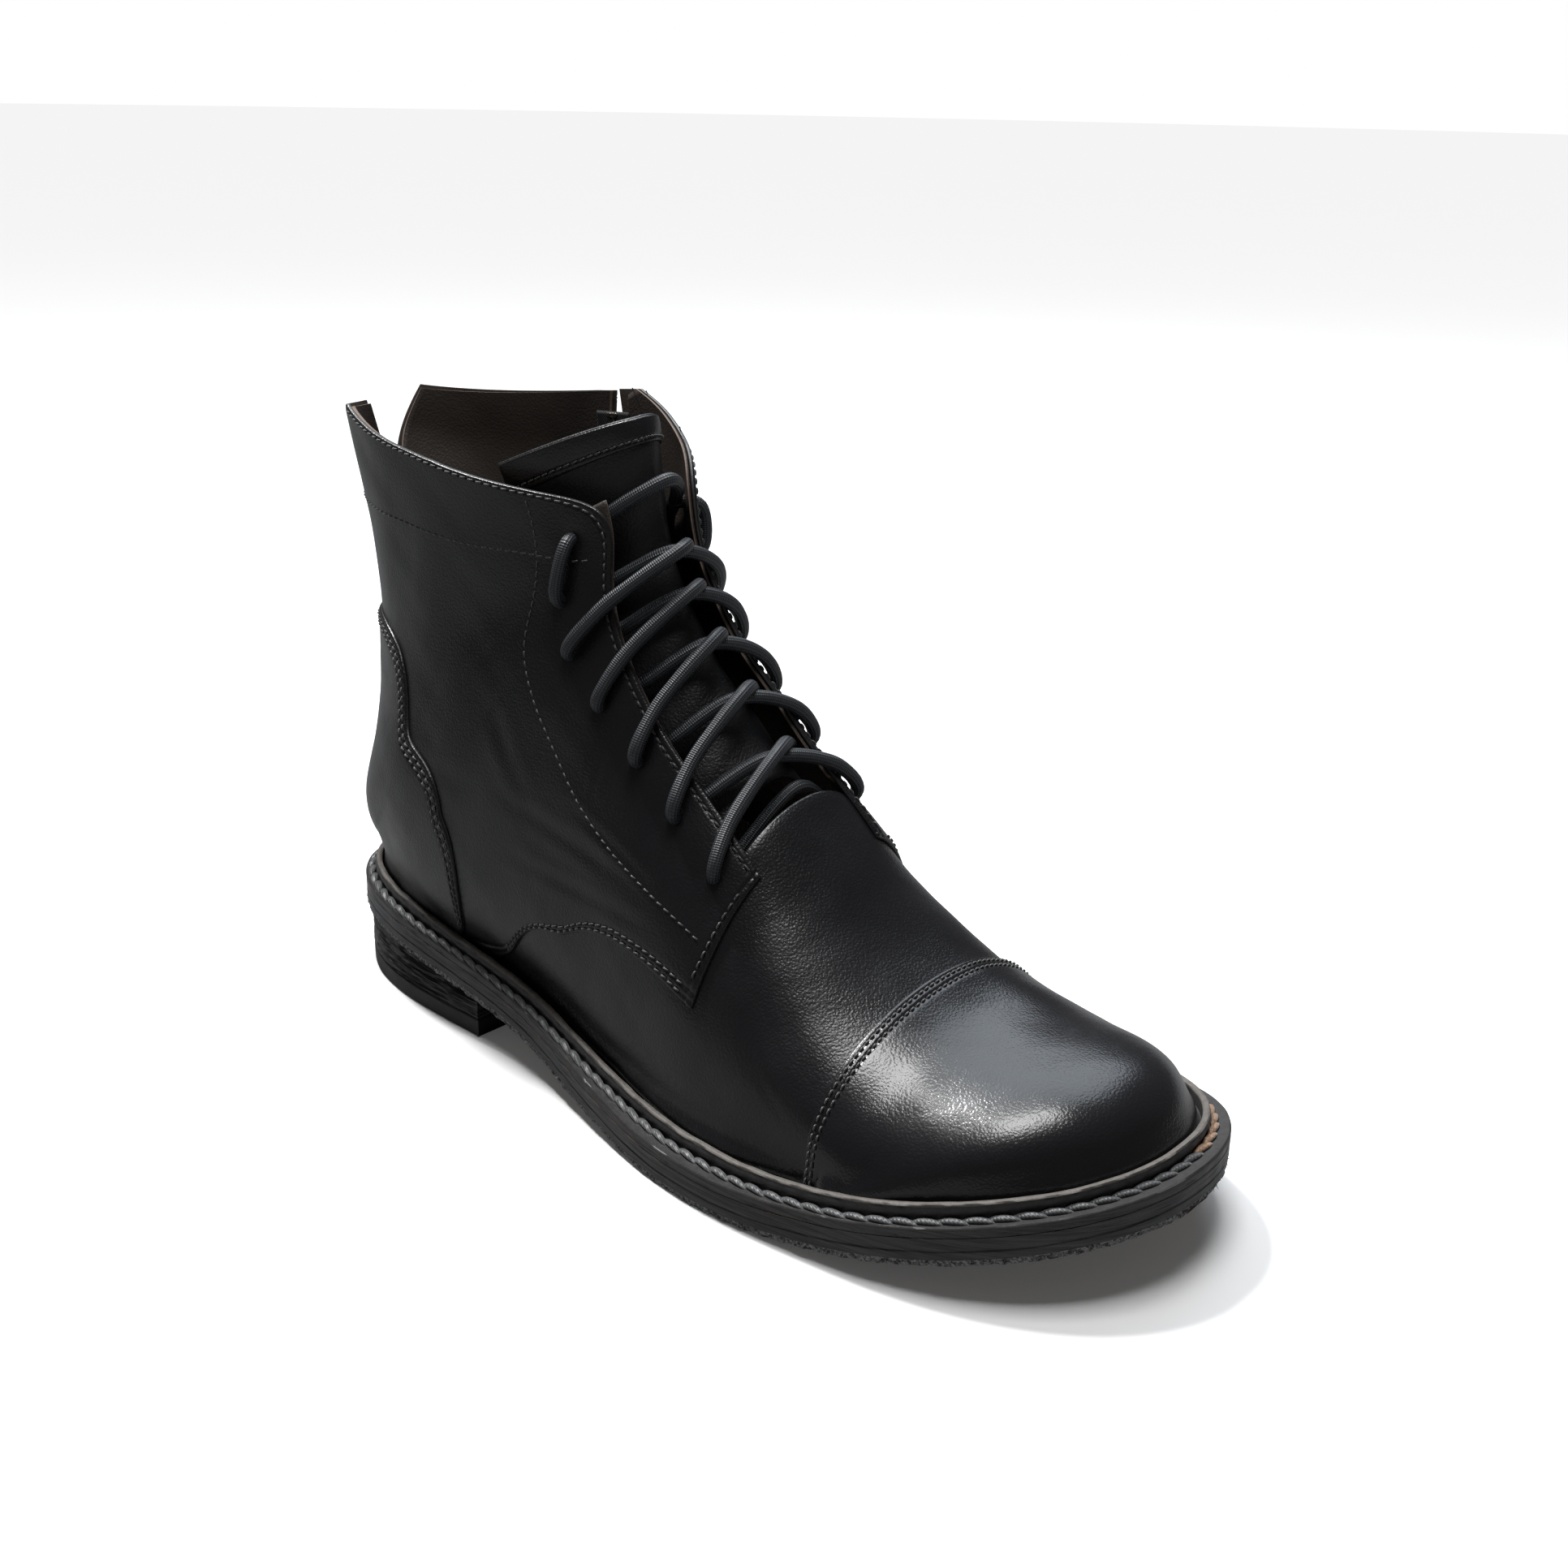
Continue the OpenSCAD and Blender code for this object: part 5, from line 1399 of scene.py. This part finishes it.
ZIP_SIDES, TOOTH_BEVEL = ((1, "front"), (-1, "rear")), 0.3
for side, place_name in ZIP_SIDES:
    zip_tape(side, "zip_tape_" + place_name)
for side, place_name in ZIP_SIDES:
    metal_piece("zip_teeth_" + place_name, "_metal", boxes(tooth_row(side), TOOTH, TOOTH_BEVEL))
STOP, STOP_BEVEL = (1.9, 1.9, 1.6), 0.35
stop_x = TOOTH_INNER + TOOTH[0] / 2
stop_parts = boxes([(0, 0, -1.0)], (2 * (TOOTH_INNER + TOOTH[0]), *STOP[1:]), STOP_BEVEL)
stop_parts += boxes([(x, 0, ZIP_LEN + 1.0) for x in (stop_x, -stop_x)], STOP, STOP_BEVEL)
metal_piece("zip_stops", "_metal", stop_parts)


def plate(outline_xz, y0, y1, bevel, hole=None):
    """A flat part with bevelled edges: an [x, z] outline made thick along y, with an outline for its hole."""
    def inset(loop, by):
        d = np.roll(loop, -1, 0) - np.roll(loop, 1, 0)
        return loop - by * unit(np.stack([d[:, 1], -d[:, 0]], -1))

    def with_y(loop, y):
        return np.column_stack([loop[:, 0], np.full(len(loop), y), loop[:, 1]])

    shape = np.asarray(outline_xz, float)
    count = len(shape)
    rings = [with_y(inset(shape, bevel), y0), with_y(shape, y0 + bevel), with_y(shape, y1 - bevel),
             with_y(inset(shape, bevel), y1)]
    if hole is not None:
        rings += [with_y(inset(hole, -0.15), y1), with_y(hole, y1 - 0.15), with_y(hole, y0 + 0.15),
                  with_y(inset(hole, -0.15), y0)]
    faces = grid_faces(len(rings), count, wrap_cols=True).tolist()
    if hole is None:
        faces += [list(range(count)), list(range(4 * count - 1, 3 * count - 1, -1))]
    else:
        last = (len(rings) - 1) * count
        faces += [[last + j, j, (j + 1) % count, last + (j + 1) % count] for j in range(count)]
    return np.concatenate(rings), faces


def rounded(half_x, z0, z1, corner, count=10):
    """[x, z] outline of a rectangle with round corners."""
    corners = [(half_x - corner, z0 + corner, -90), (half_x - corner, z1 - corner, 0),
               (-half_x + corner, z1 - corner, 90), (-half_x + corner, z0 + corner, 180)]
    loop = []
    for x, z, start in corners:
        a = np.radians(np.linspace(start, start + 90, count))
        loop.append(np.column_stack([x + corner * np.cos(a), z + corner * np.sin(a)]))
    return np.concatenate(loop)


def turned(profile, centre, sides=28):
    """A ring turned about a line along x: closed [x, radius] profile."""
    a = np.linspace(0, 2 * np.pi, sides + 1)[:-1]
    p = np.asarray(profile, float)
    x, radius = np.broadcast_to(p[:, :1], (len(p), sides)), p[:, 1:]
    points = np.stack([x, radius * np.cos(a), radius * np.sin(a)], -1)
    faces = grid_faces(len(p), sides, wrap_cols=True).tolist()
    last = (len(p) - 1) * sides
    faces += [[last + j, last + (j + 1) % sides, (j + 1) % sides, j] for j in range(sides)]
    return points.reshape(-1, 3) + np.array(centre), faces


SLIDER_LEN, PLATE_GAP, PLATE_T, PLATE_W = 8.0, 1.1, 1.0, 5.4
PIN_H, PIN_D, PULL_LEN, PULL_T = 4.2, 1.2, 16.0, 1.1
SLIDER_Z = ZIP_LEN - SLIDER_LEN - 2
PIN_Z = SLIDER_Z + SLIDER_LEN - 1.6


def zip_slider():
    face = rounded(PLATE_W / 2, SLIDER_Z, SLIDER_Z + SLIDER_LEN, 1.5)
    z = (face[:, 1] - SLIDER_Z) / SLIDER_LEN
    face[:, 0] *= 0.86 + 0.14 * np.clip((z - 0.25) / 0.3, 0, 1)
    web = rounded(0.3, SLIDER_Z + 4.5, SLIDER_Z + SLIDER_LEN - 0.4, 0.25)
    parts = [plate(face, PLATE_GAP, PLATE_GAP + PLATE_T, 0.3),
             plate(face, -PLATE_GAP - PLATE_T, -PLATE_GAP, 0.3),
             plate(web, -PLATE_GAP - 0.2, PLATE_GAP + 0.2, 0.05)]
    a = np.linspace(0, np.pi, 14)
    low, high = PLATE_GAP + PLATE_T - 0.2, PIN_H + 0.2
    arch = np.column_stack([1.55 * np.cos(a), high + 0.85 * np.sin(a)])
    arch = np.concatenate([[[1.6, low]], arch, [[-1.6, low]]])
    for x in (-1.8, 1.8):
        points, faces = plate(arch[::-1], -0.45, 0.45, 0.15)
        parts.append((np.column_stack([x + points[:, 1], points[:, 2], PIN_Z + points[:, 0]]), faces))
    half_pin = [(-2.45, 0.05), (-2.45, 0.75), (-2.2, 0.85), (-2.0, PIN_D / 2)]
    pin = half_pin + [(-x, r) for x, r in half_pin[::-1]]
    parts.append(turned(pin, (0, PIN_H, PIN_Z)))
    metal_piece("zip_slider", "_body", parts, "zip_slider")


def zip_puller():
    tail = rounded(2.3, -PULL_LEN, -2.4, 2.0, 12)
    share = np.clip((tail[:, 1] + 7.5) / 5.1, 0, 1)
    tail[:, 0] *= 1 - 0.5 * share ** 2
    a = np.radians(np.linspace(-90, 270, len(tail) + 1)[:-1])
    hole = np.column_stack([1.0 * np.cos(a), 3 - PULL_LEN + 1.0 * np.sin(a)])
    knuckle = [(-1.1, 0.75), (-1.1, 1.3), (-0.9, 1.5), (0.9, 1.5), (1.1, 1.3), (1.1, 0.75)]
    parts = [plate(tail, -PULL_T / 2, PULL_T / 2, 0.22, hole),
             plate(rounded(1.1, -3.0, -1.0, 0.2), -PULL_T / 2, PULL_T / 2, 0.1),
             turned(knuckle, (0, 0, 0))]
    moved = [(points + np.array([0, PIN_H, PIN_Z]), faces) for points, faces in parts]
    metal_piece("zip_puller", "_tab", moved, "zip_puller")


zip_slider()
zip_puller()

# ---------------------------------------------------------------- hidden layers kept from the CAD
KEPT = {"cork_filler": CORK, "shank": STEEL, "insole": BOARD, "heel_nails": BRASS, "toe_puff": STIFF,
        "heel_counter": STIFF}
for kept_name, material in KEPT.items():
    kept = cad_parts[kept_name]
    for material_slot in kept.material_slots:
        material_slot.material = material

for cutter in cutters.values():
    bpy.data.objects.remove(cutter, do_unlink=True)

# ---------------------------------------------------------------- camera, in metres
AZ, EL, ROLL = math.radians(40.98), math.radians(20.36), math.radians(1.15)
CAMERA_AT = (0.3492, -0.3783, 0.2832)
right = np.array([math.cos(AZ), math.sin(AZ), 0])
back = np.array([math.sin(AZ) * math.cos(EL), -math.cos(AZ) * math.cos(EL), math.sin(EL)])
up = np.cross(back, right)
tilted_right = math.cos(ROLL) * right + math.sin(ROLL) * up
tilted_up = -math.sin(ROLL) * right + math.cos(ROLL) * up
lens = bpy.data.cameras.new("camera")
lens.sensor_width = 36
lens.lens = 44.4224
lens.clip_start = 0.01
camera = bpy.data.objects.new("camera", lens)
bpy.context.collection.objects.link(camera)
turn = Matrix(np.column_stack([tilted_right, tilted_up, back]).tolist()).to_4x4()
camera.matrix_world = Matrix.Translation(CAMERA_AT) @ turn
bpy.context.scene.camera = camera


# ---------------------------------------------------------------- floor and light
def shown_white(tree, lit, plain, into):
    """What the camera sees directly is lit, and what mirrors itself in the boot is plain."""
    path = tree.nodes.new("ShaderNodeLightPath")
    mix = tree.nodes.new("ShaderNodeMixShader")
    tree.links.new(path.outputs["Is Camera Ray"], mix.inputs[0])
    tree.links.new(plain, mix.inputs[1])
    tree.links.new(lit, mix.inputs[2])
    tree.links.new(mix.outputs[0], into)


def floor():
    """Large white sweep that the boot stands on."""
    m = new_material("floor", (0.9, 0.9, 0.9), 1.0, specular=0.0)
    shader(m).inputs["Emission Color"].default_value = (1, 1, 1, 1)
    shader(m).inputs["Emission Strength"].default_value = 0.05
    dim = m.node_tree.nodes.new("ShaderNodeBsdfDiffuse")
    dim.inputs["Color"].default_value = (0.2, 0.2, 0.2, 1)
    shown_white(m.node_tree, shader(m).outputs[0], dim.outputs[0],
                m.node_tree.nodes["Material Output"].inputs["Surface"])
    radius = np.concatenate([[0], np.geomspace(0.05, 12, 24)]) / MM
    a = np.linspace(0, 2 * np.pi, 65)[:-1]
    points = np.stack([radius[:, None] * np.cos(a), radius[:, None] * np.sin(a),
                       np.full((len(radius), len(a)), -0.02)], -1)
    obj = mesh("floor", points, grid_faces(len(radius), len(a), wrap_cols=True, flip=True), [m])


floor()


def aim(obj, place_at, target):
    way = unit(np.array(place_at, float) - np.array(target, float))
    side = unit(np.cross([0, 0, 1.0], way))
    turn = Matrix(np.column_stack([side, np.cross(way, side), way]).tolist()).to_4x4()
    obj.matrix_world = Matrix.Translation(place_at) @ turn
    bpy.context.collection.objects.link(obj)


def softbox(name, place_at, target, size, power, colour=(1, 1, 1)):
    light = bpy.data.lights.new(name, "AREA")
    light.shape = "RECTANGLE"
    light.size, light.size_y = size
    light.energy = power
    light.color = colour
    aim(bpy.data.objects.new(name, light), place_at, target)


def key_light(strength, angle):
    """Far soft key from above the heel."""
    light = bpy.data.lights.new("key", "SUN")
    light.energy = strength
    light.angle = math.radians(angle)
    aim(bpy.data.objects.new("key", light), (-0.65, 0.07, 1.0), (0, 0, 0))


key_light(strength=3.3, angle=8)
softbox("overhead", (0.05, -0.03, 1.3), (0.08, 0, 0.05), size=(0.55, 0.46), power=11)
softbox("rear", (-0.42, 0.72, 1.15), (0.0, 0, 0.05), size=(1.0, 0.9), power=8, colour=(0.84, 0.92, 1.0))

world = bpy.data.worlds.new("studio")
bpy.context.scene.world = world
world.use_nodes = True
sky = world.node_tree.nodes["Background"]
sky.inputs["Color"].default_value = (1, 1, 1, 1)
sky.inputs["Strength"].default_value = 0.07
seen = world.node_tree.nodes.new("ShaderNodeBackground")
seen.inputs["Color"].default_value = (1, 1, 1, 1)
seen.inputs["Strength"].default_value = 1.0
shown_white(world.node_tree, seen.outputs[0], sky.outputs[0],
            world.node_tree.nodes["World Output"].inputs["Surface"])
bpy.context.scene.view_settings.view_transform = "Standard"
